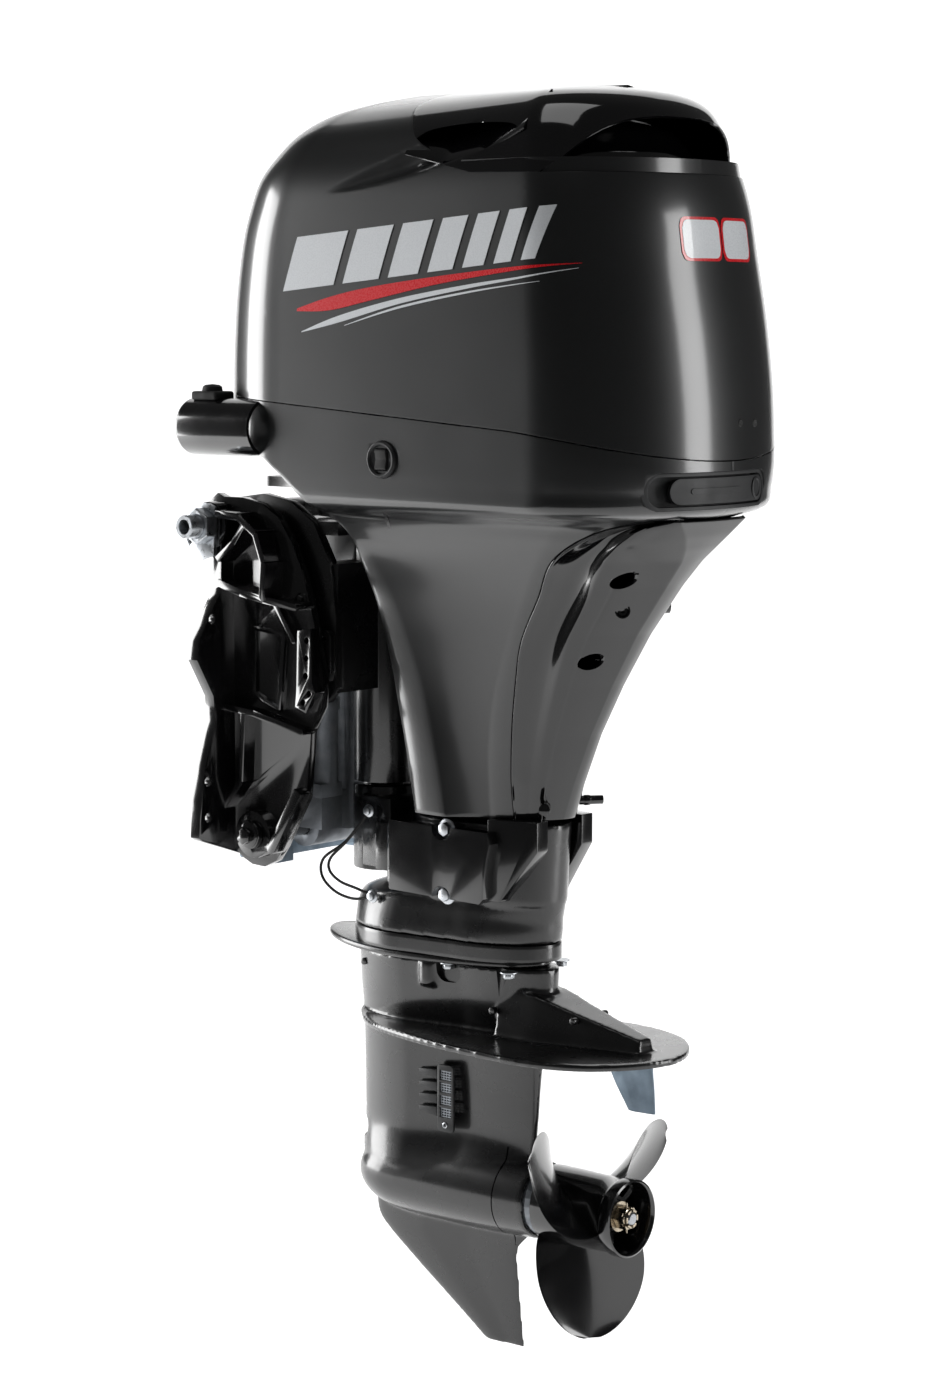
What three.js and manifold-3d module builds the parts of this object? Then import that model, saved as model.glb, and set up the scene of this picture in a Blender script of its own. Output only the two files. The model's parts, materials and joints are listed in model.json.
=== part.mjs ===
// A mid-size four-stroke outboard motor with power trim, long-shaft leg and three-blade propeller.
// Frame: millimetres, X aft, Y starboard, Z up. The origin is the transom seat: the middle of the
// transom's top edge, where the clamp brackets rest on its aft face.
import * as THREE from "three";
import { mergeVertices } from "three/addons/utils/BufferGeometryUtils.js";
import Module from "manifold-3d";

const wasm = await Module();
wasm.setup();

// Driving dimensions.
const GAP = 0.3; // left between pieces that touch
const TILT_AXIS = { x: -4, z: 60 }; // across the boat, inside the tilt tube
const STEER_X = 133; // the upright steering axis
const DRIVE_X = 222; // crankshaft and driveshaft axis
const PROP_Z = -696; // propeller shaft axis
const PLATE_Z = -510; // anti-ventilation plate, long-shaft transom height
const TRIM_PIN = { x: 58, z: -292 }; // lower pivot of the trim cylinder
const ROD_EYE = { x: 62, z: 8 }; // upper eye of the trim rod
const PROP_RADIUS = 144.5; // 11-3/8 inch propeller
const PROP_PITCH = 356; // 14 inch pitch
const HUB_END_X = 495;
const SHELL = 4; // wall of the moulded covers
const SPLIT_Z = 205; // parting line of the cowl at its front
const TUBE = { y: -150, z: 173, radius: 32.5, wall: 4, from: -24 }; // rigging tube

// Basic helpers.
const v3 = (x, y, z) => new THREE.Vector3(x, y, z);
const range = (n) => Array.from({ length: n }, (_, i) => i);

// A closed geometry as a solid, turned outwards if its faces point in.
function solid(geometry) {
  const bare = new THREE.BufferGeometry().setAttribute(
    "position",
    geometry.getAttribute("position"),
  );
  if (geometry.index) bare.setIndex(geometry.index);
  const merged = mergeVertices(bare, 1e-4);
  const build = (triVerts) =>
    new wasm.Manifold(
      new wasm.Mesh({ numProp: 3, vertProperties: merged.attributes.position.array, triVerts }),
    );
  const triVerts = new Uint32Array(merged.index.array);
  const made = build(triVerts);
  if (made.volume() > 0) return made;
  for (let i = 0; i < triVerts.length; i += 3) {
    const first = triVerts[i];
    triVerts[i] = triVerts[i + 1];
    triVerts[i + 1] = first;
  }
  return build(triVerts);
}

function geometryOf(made) {
  const mesh = made.getMesh();
  const geometry = new THREE.BufferGeometry();
  geometry.setAttribute("position", new THREE.BufferAttribute(mesh.vertProperties, 3));
  geometry.setIndex(new THREE.BufferAttribute(mesh.triVerts, 1));
  const flat = geometry.toNonIndexed();
  flat.computeVertexNormals();
  return flat;
}

const joined = (first, ...rest) => rest.reduce((all, one) => all.add(one), first);
const cutBy = (first, ...rest) => rest.reduce((left, one) => left.subtract(one), first);
const mirrored = (made) => made.mirror([0, 1, 0]);

// An outline pushed along an axis. Points are [x, y] for Z, [x, z] for Y and [y, z] for X.
function prism(axis, outline, low, high) {
  const shape = new THREE.Shape(outline.map(([a, b]) => new THREE.Vector2(a, b)));
  const geometry = new THREE.ExtrudeGeometry(shape, { depth: high - low, bevelEnabled: false });
  const frames = {
    X: [v3(0, 1, 0), v3(0, 0, 1), v3(1, 0, 0), v3(low, 0, 0)],
    Y: [v3(1, 0, 0), v3(0, 0, 1), v3(0, -1, 0), v3(0, high, 0)],
    Z: [v3(1, 0, 0), v3(0, 1, 0), v3(0, 0, 1), v3(0, 0, low)],
  };
  const [a, b, c, at] = frames[axis];
  geometry.applyMatrix4(new THREE.Matrix4().makeBasis(a, b, c).setPosition(at));
  return solid(geometry);
}

const block = (x0, x1, y0, y1, z0, z1) =>
  prism("Z", [[x0, y0], [x1, y0], [x1, y1], [x0, y1]], z0, z1);

// A turned shape about an axis through a centre. The profile lists [along, radius].
function turned(axis, centre, profile, segments = 20) {
  const points = profile.map(([along, radius]) => new THREE.Vector2(radius, along));
  const geometry = new THREE.LatheGeometry(points, segments);
  if (axis === "Z") geometry.rotateX(Math.PI / 2);
  if (axis === "X") geometry.rotateZ(-Math.PI / 2);
  geometry.translate(...centre);
  return solid(geometry);
}

// Enough facets for a smooth look at each size.
const facets = (radius) => Math.min(24, Math.max(8, 2 * Math.round(radius * 0.25 + 3)));

function rod(axis, centre, from, to, radius, segments = facets(radius)) {
  return turned(axis, centre, [[from, 0], [from, radius], [to, radius], [to, 0]], segments);
}

// A hole for a round piece that turns in it: its facets stay outside the piece's own round.
function bore(axis, centre, from, to, radius) {
  const sides = facets(radius);
  return rod(axis, centre, from, to, (radius + GAP / 2) / Math.cos(Math.PI / sides), sides);
}

// A skin over rings of points, each a closed loop with the same count, with a fan at both ends.
function loft(rings) {
  const count = rings[0].length;
  const points = rings.flat();
  const index = [];
  range(rings.length - 1).forEach((r) =>
    range(count).forEach((i) => {
      const j = (i + 1) % count;
      const [a, b, c, d] = [r * count + i, r * count + j, (r + 1) * count + j, (r + 1) * count + i];
      index.push(a, b, c, a, c, d);
    }),
  );
  [0, rings.length - 1].forEach((r) => {
    const middle = rings[r].reduce((sum, p) => sum.add(p), v3(0, 0, 0)).divideScalar(count);
    const centre = points.push(middle) - 1;
    range(count).forEach((i) => {
      const [a, b] = [r * count + i, r * count + ((i + 1) % count)];
      if (r === 0) index.push(b, a, centre);
      else index.push(a, b, centre);
    });
  });
  const geometry = new THREE.BufferGeometry().setFromPoints(points);
  geometry.setIndex(index);
  return solid(geometry);
}

// A round bar along a smooth path.
function bar(path, radius, sides, steps) {
  const shape = new THREE.Shape(
    range(sides).map((i) => {
      const angle = (2 * Math.PI * i) / sides;
      return new THREE.Vector2(radius * Math.cos(angle), radius * Math.sin(angle));
    }),
  );
  const curve = new THREE.CatmullRomCurve3(path.map((p) => v3(...p)));
  return solid(
    new THREE.ExtrudeGeometry(shape, { steps, bevelEnabled: false, extrudePath: curve }),
  );
}

const arc = (cx, cy, radius, fromDeg, toDeg, steps) =>
  range(steps + 1).map((i) => {
    const angle = THREE.MathUtils.degToRad(fromDeg + ((toDeg - fromDeg) * i) / steps);
    return [cx + radius * Math.cos(angle), cy + radius * Math.sin(angle)];
  });

// Plan sections. Each level has a front and a rear half-ellipse, [centre x, length, half-width],
// joined by straight sides, and a drop that lets the parting line fall towards the stern.
const ROUND = 7; // steps in each quarter of a cover section
const FOIL_ROUND = 4;
const partingDrop = (x) => -0.067 * (x - 84) - 0.0008 * Math.max(0, x - 456) ** 2;

function section(level, inset = 0, lift = 0, round = ROUND) {
  const { z, front, rear, drop = 0 } = level;
  const half = [];
  range(round + 1).forEach((i) => {
    const angle = (Math.PI / 2) * (i / round);
    half.push([front[0] - (front[1] - inset) * Math.cos(angle), (front[2] - inset) * Math.sin(angle)]);
  });
  range(round + 1).forEach((i) => {
    const angle = (Math.PI / 2) * (i / round);
    half.push([rear[0] + (rear[1] - inset) * Math.sin(angle), (rear[2] - inset) * Math.cos(angle)]);
  });
  const other = half.slice(1, -1).reverse().map(([x, y]) => [x, -y]);
  return [...half, ...other].map(([x, y]) => v3(x, y, z + lift + drop * partingDrop(x)));
}

// Upper cowl.
const COWL_LEVELS = [
  { z: SPLIT_Z, drop: 1, front: [112, 150, 165], rear: [495, 126, 185] },
  { z: 260, drop: 0.83, front: [113, 149, 165], rear: [493, 125, 184] },
  { z: 320, drop: 0.63, front: [113, 145, 162], rear: [488, 122, 181] },
  { z: 380, drop: 0.44, front: [115, 138, 157], rear: [481, 117, 176] },
  { z: 420, drop: 0.3, front: [118, 130, 150], rear: [477, 114, 171] },
  { z: 450, drop: 0.2, front: [122, 122, 142], rear: [472, 110, 165] },
  { z: 475, drop: 0.1, front: [130, 110, 130], rear: [466, 105, 156] },
  { z: 500, front: [140, 92, 112], rear: [460, 98, 146] },
  { z: 520, front: [155, 70, 85], rear: [455, 90, 130] },
  { z: 533, front: [178, 45, 52], rear: [446, 76, 104] },
  { z: 541, front: [215, 30, 25], rear: [430, 50, 55] },
];
const COWL_WALL = 5;
const DECK_Z = 456; // flat top behind the cap's seam
const SEAM = [[262, 600], [262, 527], [319, DECK_Z], [800, DECK_Z], [800, 600]];

const cowlDome = (inset) => loft(COWL_LEVELS.map((level) => section(level, inset, inset ? -inset : 0)));
const seamRegion = (shift) =>
  prism("Y", SEAM.map(([x, z]) => [x + shift, z > DECK_Z + 100 ? z : z + shift]), -400, 400);

function makeCowl() {
  const outer = cowlDome(0).subtract(seamRegion(0));
  const inner = cowlDome(COWL_WALL).subtract(seamRegion(-COWL_WALL));
  const intake = block(345, 425, -70, 70, DECK_Z - 20, DECK_Z + 5);
  return cutBy(outer, inner, intake);
}

// The cap: the dome's top, hollow, open at the stern under its visor and at each side.
function makeTopCap() {
  const capWall = 4;
  const outer = cowlDome(0).intersect(seamRegion(GAP + 0.3));
  const inner = cowlDome(capWall).intersect(seamRegion(GAP + capWall));
  const hollow = inner.add(
    cowlDome(capWall).intersect(block(330, 800, -300, 300, DECK_Z - 5, DECK_Z + 30)),
  );
  const low = DECK_Z - 5;
  const slotEdge = [[489, low], [489, DECK_Z + 4], [655, DECK_Z + 29], [655, low]];
  const slot = prism("Y", slotEdge, -300, 300);
  const lip = DECK_Z + 3;
  const sideEdge = [[344, lip], [344, DECK_Z + 17], [447, DECK_Z + 40], [440, lip]];
  const side = prism("Y", sideEdge, -300, 300);
  return cutBy(outer, hollow, slot, side.subtract(block(300, 500, -100, 100, 400, 560)));
}

// Lower covers: one envelope from the parting line down the leg, split into port, starboard and rear.
const COVER_LEVELS = [
  { z: SPLIT_Z - 1, drop: 1, front: [112, 150, 165], rear: [495, 126, 185] },
  { z: 165, drop: 0.6, front: [112, 150, 165], rear: [495, 126, 184.5] },
  { z: 120, drop: 0.15, front: [114, 150, 163], rear: [493, 125, 183] },
  { z: 92, front: [135, 150, 158], rear: [490, 122, 178] },
  { z: 80, front: [150, 150, 142], rear: [476, 109, 124] },
  { z: 60, front: [175, 150, 121], rear: [455, 102, 113] },
  { z: 39, front: [200, 150, 110], rear: [437, 95, 105] },
  { z: -6, front: [230, 150, 103], rear: [405, 85, 92] },
  { z: -57, front: [250, 150, 96], rear: [380, 78, 82] },
  { z: -121, front: [270, 150, 90], rear: [353, 70, 72] },
  { z: -189, front: [285, 150, 88], rear: [338, 62, 62] },
  { z: -260, front: [295, 150, 85], rear: [334, 55, 53] },
];
const FRONT_EDGE = [
  [-80, 141], [94, 141], [136, 110], [176, 72], [191, 28],
  [207, -19], [218, -74], [226, -129], [237, -185], [248, -255],
];
const SWOOSH = [
  [362, -250], [363, -208], [371, -152], [385, -95], [400, -51],
  [429, -4], [460, 40], [519, 72], [572, 84], [800, 84],
];

const envelope = (inset) =>
  loft(COVER_LEVELS.map((level) => section(level, inset, inset ? (level.z > 150 ? 3 : 0) + 1 : 0)));

function coverRegion() {
  return prism("Y", [[-80, 260], ...FRONT_EDGE, ...SWOOSH, [800, 260]], -300, 300);
}

// The pan closes the front of the covers under the engine.
function coverInside() {
  const inset = FRONT_EDGE.map(([x, z]) => (z > 100 ? [x, z + SHELL] : [x - 60, z]));
  return prism("Y", [[-80, 300], ...inset, [188, -300], [900, -300], [900, 300]], -300, 300);
}

// Latch recess and lever follow the stern's curve between two widths.
const LATCH = { y0: -118, y1: 79, z0: 96, z1: 136 };
function sternBand(inner, outer, y0, y1, z0, z1) {
  const [cx, a, b] = [493.5, 125.3, 183.5];
  const at = (offset, y) => [
    cx + (a + offset) * Math.sqrt(1 - (y / (b + offset)) ** 2),
    y,
  ];
  const steps = 10;
  const ys = range(steps + 1).map((i) => y0 + ((y1 - y0) * i) / steps);
  const outline = [...ys.map((y) => at(outer, y)), ...[...ys].reverse().map((y) => at(inner, y))];
  return prism("Z", outline, z0, z1);
}

const SWITCH = { x: 282, z: 144, face: -177, radius: 20 };

function makeSideCover(side) {
  const shell = envelope(0).intersect(coverRegion()).subtract(envelope(SHELL).intersect(coverInside()));
  const half = block(-300, 900, GAP, 400, -400, 400);
  const latchCut = sternBand(-14, 8, LATCH.y0 - 0.5, LATCH.y1 + 0.5, LATCH.z0 - 0.5, LATCH.z1 + 0.5);
  if (side === "starboard") return shell.intersect(half).subtract(latchCut);
  const port = shell.intersect(mirrored(half));
  const switchHole = rod("Y", [SWITCH.x, 0, SWITCH.z], -200, -150, SWITCH.radius + 0.4);
  const tubeHole = rod("X", [0, TUBE.y, TUBE.z], -60, 80, TUBE.radius - TUBE.wall);
  const tubeSocket = block(-80, 44, -260, -100, TUBE.z - 60, TUBE.z + 60).intersect(tubeHole);
  return cutBy(port, latchCut, switchHole, tubeSocket);
}

// The rear cover narrows to a flat-backed ridge down the stern: height, foot (x, half-width)
// behind the swoosh, and back (x, half-width).
const RIDGE = [
  [83, [581, 56], [598, 54]],
  [66, [522, 93], [590, 45]],
  [52, [496, 95], [581, 28]],
  [38, [472, 95], [570, 19]],
  [10, [452, 86], [547, 15]],
  [-45, [417, 76], [506, 13]],
  [-103, [397, 63], [471, 11]],
  [-160, [384, 51], [441, 10]],
  [-218, [377, 41], [417, 10]],
  [-254.5, [376, 34], [404, 10]],
];
function ridge(inset) {
  const ring = ([z, [x, half], [back, flat]]) => [
    v3(x, -half + inset, z),
    v3(back - inset, -flat + inset / 2, z),
    v3(back - inset, flat - inset / 2, z),
    v3(x, half - inset, z),
  ];
  return loft(RIDGE.map(ring));
}

function makeRearCover() {
  const edge = SWOOSH.map(([x, z]) => [x + 0.8, z - 0.8]);
  const region = prism("Y", [[362.8, -257], ...edge, [800, -257]], -300, 300);
  const outer = envelope(0).intersect(region).add(ridge(0));
  return cutBy(outer, envelope(SHELL), ridge(SHELL));
}

function makeRiggingTube() {
  const { y, z, radius, wall, from } = TUBE;
  const outer = rod("X", [0, y, z], from, 92, radius);
  const tube = outer.subtract(rod("X", [0, y, z], from - 5, 100, radius - wall));
  const clearance = loft(COVER_LEVELS.slice(0, 5).map((level) => section(level, -0.4)));
  const kept = tube.subtract(clearance).decompose();
  return kept.reduce((best, one) => (one.volume() > best.volume() ? one : best));
}

function makeRiggingGrommet() {
  const top = TUBE.z + TUBE.radius;
  return block(-15, 21, TUBE.y - 16, TUBE.y + 16, top + GAP, top + 11)
    .add(rod("Z", [3, TUBE.y, 0], top + 10, top + 17, 11));
}

function makeSwitchBezel() {
  const { x, z, face, radius } = SWITCH;
  const disc = rod("Y", [x, 0, z], face, face + 10, radius);
  return disc.subtract(block(x - 9, x + 9, face - 1, face + 11, z - 15.5, z + 15.5));
}

function makeSwitchRocker() {
  const { x, z, face } = SWITCH;
  const crown = [[face - 1.5, z - 11], [face + 1, z], [face - 1.5, z + 11]];
  return prism("X", [...crown, [face + 9, z + 9], [face + 9, z - 9]], x - 7, x + 7);
}

function makeLatchBase() {
  const { y0, y1, z0, z1 } = LATCH;
  const tray = sternBand(-13, -0.3, y0, y1, z0, z1);
  return tray.subtract(sternBand(-10, 4, y0 + 4, y1 - 4, z0 + 4, z1 - 4));
}

function makeLatchLever() {
  const { y0, y1, z0, z1 } = LATCH;
  return sternBand(-5.5, -1, y0 + 10, y1 - 9, z0 + 6, z1 - 6);
}

function makeLatchHook() {
  const plate = prism("Y", [[560, 118], [572, 118], [572, 178], [588, 178], [588, 188], [560, 188]], -9, 9);
  return plate.subtract(rod("Y", [566, 0, 126], -20, 20, 3.5));
}

// Clamp brackets. The web stands upright along the boat, the flange bears on the transom.
const WEB = { inner: 118, outer: 128, rib: 150 };
const FLANGE_EDGE = [
  [118, 90], [147, 66], [147, 38], [149, -14], [158, -26], [186, -69], [189, -91],
  [163, -134], [160, -163], [177, -213], [185, -253], [188, -296], [182, -300], [118, -322],
];
const WEB_EDGE = [
  [0, 92], [-10, 96], [-30, 82], [-40, 60], [-34, 36], [-12, 26], [0, 22],
  [0, -300], [22, -322], [40, -330], [60, -331], [78, -322], [90, -306],
  [126, -245], [133, -170], [150, -140], [152, -110], [140, -52],
  [134, -30], [121, 12], [104, 45], [84, 72], [58, 86], [30, 92],
];
const rib = (points, width, outer) =>
  joined(
    ...points.slice(1).map(([x, z], i) => {
      const [px, pz] = points[i];
      const length = Math.hypot(x - px, z - pz) || 1;
      const [nx, nz] = [((pz - z) / length) * (width / 2), ((x - px) / length) * (width / 2)];
      const corners = [[px + nx, pz + nz], [x + nx, z + nz], [x - nx, z - nz], [px - nx, pz - nz]];
      return prism("Y", corners, WEB.outer - 2, outer);
    }),
    rod("Y", [points.at(-1)[0], 0, points.at(-1)[1]], WEB.outer - 2, outer, width / 2),
  );

function makeClampBracket() {
  const web = prism("Y", WEB_EDGE, WEB.inner, WEB.outer);
  const flange = prism("X", FLANGE_EDGE, 0, 14);
  const boss = rod("Y", [TILT_AXIS.x, 0, TILT_AXIS.z], WEB.outer - 2, WEB.rib, 27);
  const fan = rib([[14, 74], [50, 72], [76, 54], [88, 22], [86, -18]], 8, 158);
  const ties = [
    rib([[14, -4], [50, -14], [86, -20], [134, -26]], 8, 156),
    rib([[14, 22], [40, 42], [58, 66]], 7, 156),
    rib([[88, -24], [118, -66]], 6, 140),
    rib([[14, -148], [60, -152], [134, -168]], 7, 146),
    rib([[44, -152], [40, -232], [14, -262]], 7, 146),
    rib([[128, -236], [86, -306]], 12, 146),
    rib([[50, -56], [50, -130], [88, -148], [96, -60], [50, -56]], 5, 133),
  ];
  const pinHoles = [[140, -64], [139, -84], [138, -104], [143, -124], [134, -134]];
  const holePlateEdge = [
    [126, -54], [146, -50], [148, -112], [152, -122], [138, -146], [122, -140], [124, -120],
  ];
  const holePlate = prism("Y", holePlateEdge, WEB.outer - 2, 142);
  const foot = rod("Y", [TRIM_PIN.x, 0, TRIM_PIN.z], WEB.outer - 2, 145.6, 27);
  const body = joined(web, flange, boss, fan, ...ties, holePlate, foot);
  const tiltHole = bore("Y", [TILT_AXIS.x, 0, TILT_AXIS.z], 100, 170, 13.5);
  const pinHole = bore("Y", [TRIM_PIN.x, 0, TRIM_PIN.z], 100, 170, 10);
  const holes = pinHoles.map(([x, z]) => rod("Y", [x, 0, z], 130, 170, 4));
  const bolts = [[163, -40 - 6], [172, -232], [172, -274]].map(([y, z]) => rod("X", [0, y, z], -5, 20, 6.35));
  return cutBy(body, tiltHole, pinHole, ...holes, ...bolts);
}

function makeTiltTube() {
  const axis = [TILT_AXIS.x, 0, TILT_AXIS.z];
  return rod("Y", axis, -190, 190, 13.5).subtract(rod("Y", axis, -200, 200, 8));
}

function makeTiltNut(from, to) {
  const shape = arc(TILT_AXIS.x, TILT_AXIS.z, 21, 0, 300, 5);
  const hole = bore("Y", [TILT_AXIS.x, 0, TILT_AXIS.z], from - 1, to + 1, 13.5);
  return prism("Y", shape, from, to).subtract(hole);
}

function makeTiltPlate() {
  const { x, z } = TILT_AXIS;
  const foot = [[x - 26, z - 30], [x - 8, z - 40], [x + 12, z - 34], [x + 15, z]];
  const outline = [...foot, ...arc(x, z, 26, 55, 180, 6), [x - 36, z - 14]];
  const plate = prism("Y", outline, -155, -150 - GAP);
  const hole = bore("Y", [x, 0, z], -160, -140, 13.5);
  return cutBy(plate, hole, rod("Y", [x - 24, 0, z - 18], -160, -140, 3.5));
}

function makeLowerPin() {
  const axis = [TRIM_PIN.x, 0, TRIM_PIN.z];
  return joined(
    rod("Y", axis, -146, 146, 10),
    rod("Y", axis, -153, -145.9, 16),
    rod("Y", axis, 145.9, 153, 16),
  );
}

function makeBracketAnode() {
  const bar0 = block(4, 36, -112, 112, -328, -310);
  const pad = (y) => block(-2, 44, y - 16, y + 16, -334, -316);
  return joined(bar0, pad(-78), pad(78));
}

// Swivel bracket: two cheeks on the tilt tube, and the upright tube that the leg steers in.
const PILOT_RADIUS = 22;
function makeSwivel() {
  const outline = [
    [-4, 90], [40, 96], [84, 88], [118, 66], [142, 24], [152, -40], [152, -120], [136, -138],
    [112, -128], [96, -70], [64, -24], [30, 14], [10, 30], [-4, 32], [-30, 48], [-30, 72],
  ];
  const cheek = prism("Y", outline, 94, 106);
  const tiltBar = rod("Y", [TILT_AXIS.x, 0, TILT_AXIS.z], -106, 106, 26);
  const upright = rod("Z", [STEER_X, 0, 0], -236, 66, 37);
  const wall = prism("Z", [[112, -100], [150, -100], [150, 100], [112, 100]], -126, 20);
  const deck = block(0, 150, -100, 100, 52, 66);
  const ears = [block(40, 118, -34, -26, -16, 56), block(40, 118, 26, 34, -16, 56)];
  const body = joined(cheek, mirrored(cheek), tiltBar, upright, wall, deck, ...ears);
  const steerBore = bore("Z", [STEER_X, 0, 0], -300, 200, PILOT_RADIUS);
  const tiltBore = bore("Y", [TILT_AXIS.x, 0, TILT_AXIS.z], -200, 200, 13.5);
  const rodRoom = block(30, 96.5, -26, 26, -60, 50);
  return cutBy(body, steerBore, tiltBore, rodRoom);
}

function makeTiltLock() {
  const outline = [...arc(142, -64, 10, 20, 200, 8), [136, -104], [148, -112], [152, -100]];
  return prism("Y", outline, -115, -107).subtract(rod("Y", [142, 0, -64], -120, -100, 3.5));
}

// Power trim: cylinder and pump on the lower pin, and the rod that lifts the swivel.
const ROD_RADIUS = 11;
function makeTrimCylinder() {
  const { x, z } = TRIM_PIN;
  const barrel = rod("Z", [x, 0, 0], z - 6, -62, 29);
  const cap = rod("Z", [x, 0, 0], -74, -54, 33);
  const foot = rod("Y", [x, 0, z], -60, 60, 24);
  const link = block(x - 26, x + 26, -60, -10, z + 4, z + 40);
  const pumpSeat = block(x - 26, x + 54, -88, -53, z + 4, z + 40);
  const body = joined(barrel, cap, foot, link, pumpSeat);
  const ramBore = bore("Z", [x, 0, 0], z + 14, 0, ROD_RADIUS);
  return cutBy(body, ramBore, bore("Y", [x, 0, z], -90, 90, 10));
}

function makeTrimPump() {
  const base = TRIM_PIN.z + 40 + GAP;
  const motor = rod("Z", [92, -68, 0], base, base + 108, 21);
  const cap = rod("Z", [92, -68, 0], base + 100, base + 114, 23);
  const tank = block(36, 78, -88, -44, base, base + 84);
  const seat = block(60, 112, -88, -53, base, base + 16);
  return joined(motor, cap, tank, seat);
}

function makeTrimRod() {
  const { x, z } = ROD_EYE;
  const shaft = rod("Z", [TRIM_PIN.x, 0, 0], TRIM_PIN.z + 24, z - 6, ROD_RADIUS);
  const eye = rod("Y", [x, 0, z], -13, 13, 14);
  return shaft.add(eye).subtract(bore("Y", [x, 0, z], -20, 20, 7));
}

const makeRodPin = () => rod("Y", [ROD_EYE.x, 0, ROD_EYE.z], -22, 22, 7);

// Steering: pilot shaft with its head and arm, and the yoke that holds the lower mounts.
function makeSteeringBracket() {
  const shaft = rod("Z", [STEER_X, 0, 0], -240, 80, PILOT_RADIUS);
  const headEdge = [[60, -34], [130, -62], [172, -62], [172, 62], [130, 62], [60, 34]];
  const head = prism("Z", headEdge, 68, 92);
  const armEnd = arc(-34, 0, 14, 250, 110, 6);
  const arm = prism("Z", [[62, -22], [-30, -12], ...armEnd, [-30, 12], [62, 22]], 98, 110);
  const riser = block(52, 84, -22, 22, 90, 110);
  return cutBy(joined(shaft, head, arm, riser), rod("Z", [-34, 0, 0], 90, 120, 5));
}

function makeLowerYoke() {
  const hub = rod("Z", [STEER_X, 0, 0], -338, -240 - GAP, 38);
  const bridge = prism("Z", [[STEER_X, -42], [180, -46], [180, 46], [STEER_X, 42]], -332, -250);
  const sides = [block(166, 187, -57, -40, -332, -276), block(166, 187, 40, 57, -332, -276)];
  return joined(hub, bridge, ...sides);
}

// Leg sections: [front x, rear x, half-width] of a foil-like plan outline.
function foil(z, front, rear, halfWidth, rearShare = 0.8) {
  const length = rear - front;
  return section({
    z,
    front: [front + length * 0.34, length * 0.34, halfWidth],
    rear: [rear - length * 0.36, length * 0.36, halfWidth * rearShare],
  }, 0, 0, FOIL_ROUND);
}

const EXHAUST = [[200, 268, 356, 34], [-600, 268, 356, 34]];
const CASE_TOP = [[100, 192, 372, 50], [-256, 192, 376, 50], [-263, 192, 376, 50]];
const CASE_WAIST = [[-263, 190, 398, 58], [-354, 190, 391, 58]];
const CASE_FLARE = [[-352, 190, 391, 58], [-374, 104, 387, 62], [-400, 101, 384, 66]];
const CASE_FLANGE = [[82, 176, 470, 100], [100, 176, 470, 100]];
const foils = (levels, grow = 0) =>
  loft(levels.map(([z, front, rear, half]) => foil(z, front - grow, rear + grow, half + grow, 0.9)));

function makeMidCase() {
  const body = joined(foils(CASE_TOP), foils(CASE_WAIST), foils(CASE_FLARE), foils(CASE_FLANGE));
  const driveBore = rod("Z", [DRIVE_X, 0, 0], -500, 200, 17);
  return cutBy(body, driveBore, foils(EXHAUST));
}

function makeLowerMountCover() {
  const outline = [[189, 50], [189, 66], [197, 77], [332, 78], [345, 74], [394, 44], [394, 30], [300, 30]];
  const coverBlock = prism("Z", outline, -351, -264);
  const corner = prism("Y", [[180, -340], [205, -352], [180, -360]], 20, 90);
  return cutBy(coverBlock, corner, foils(CASE_WAIST, GAP));
}

const caseBores = () => [
  rod("Z", [DRIVE_X, 0, 0], -600, -300, 17),
  foils(EXHAUST),
];

function makeSpacer() {
  return cutBy(loft([foil(-400 - GAP, 101, 384, 66, 0.9), foil(-420, 101, 384, 66, 0.9)]), ...caseBores());
}

function makeSplashPlate() {
  const nose = arc(115, 0, 60, 100, 260, 14);
  const port = [[150, -62], [240, -66], [330, -60], [372, -40]];
  const starboard = [[372, 40], [330, 60], [240, 66], [150, 62]];
  const outline = [...nose, ...port, ...starboard];
  return cutBy(prism("Z", outline, -428, -420 - GAP), ...caseBores());
}

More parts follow.
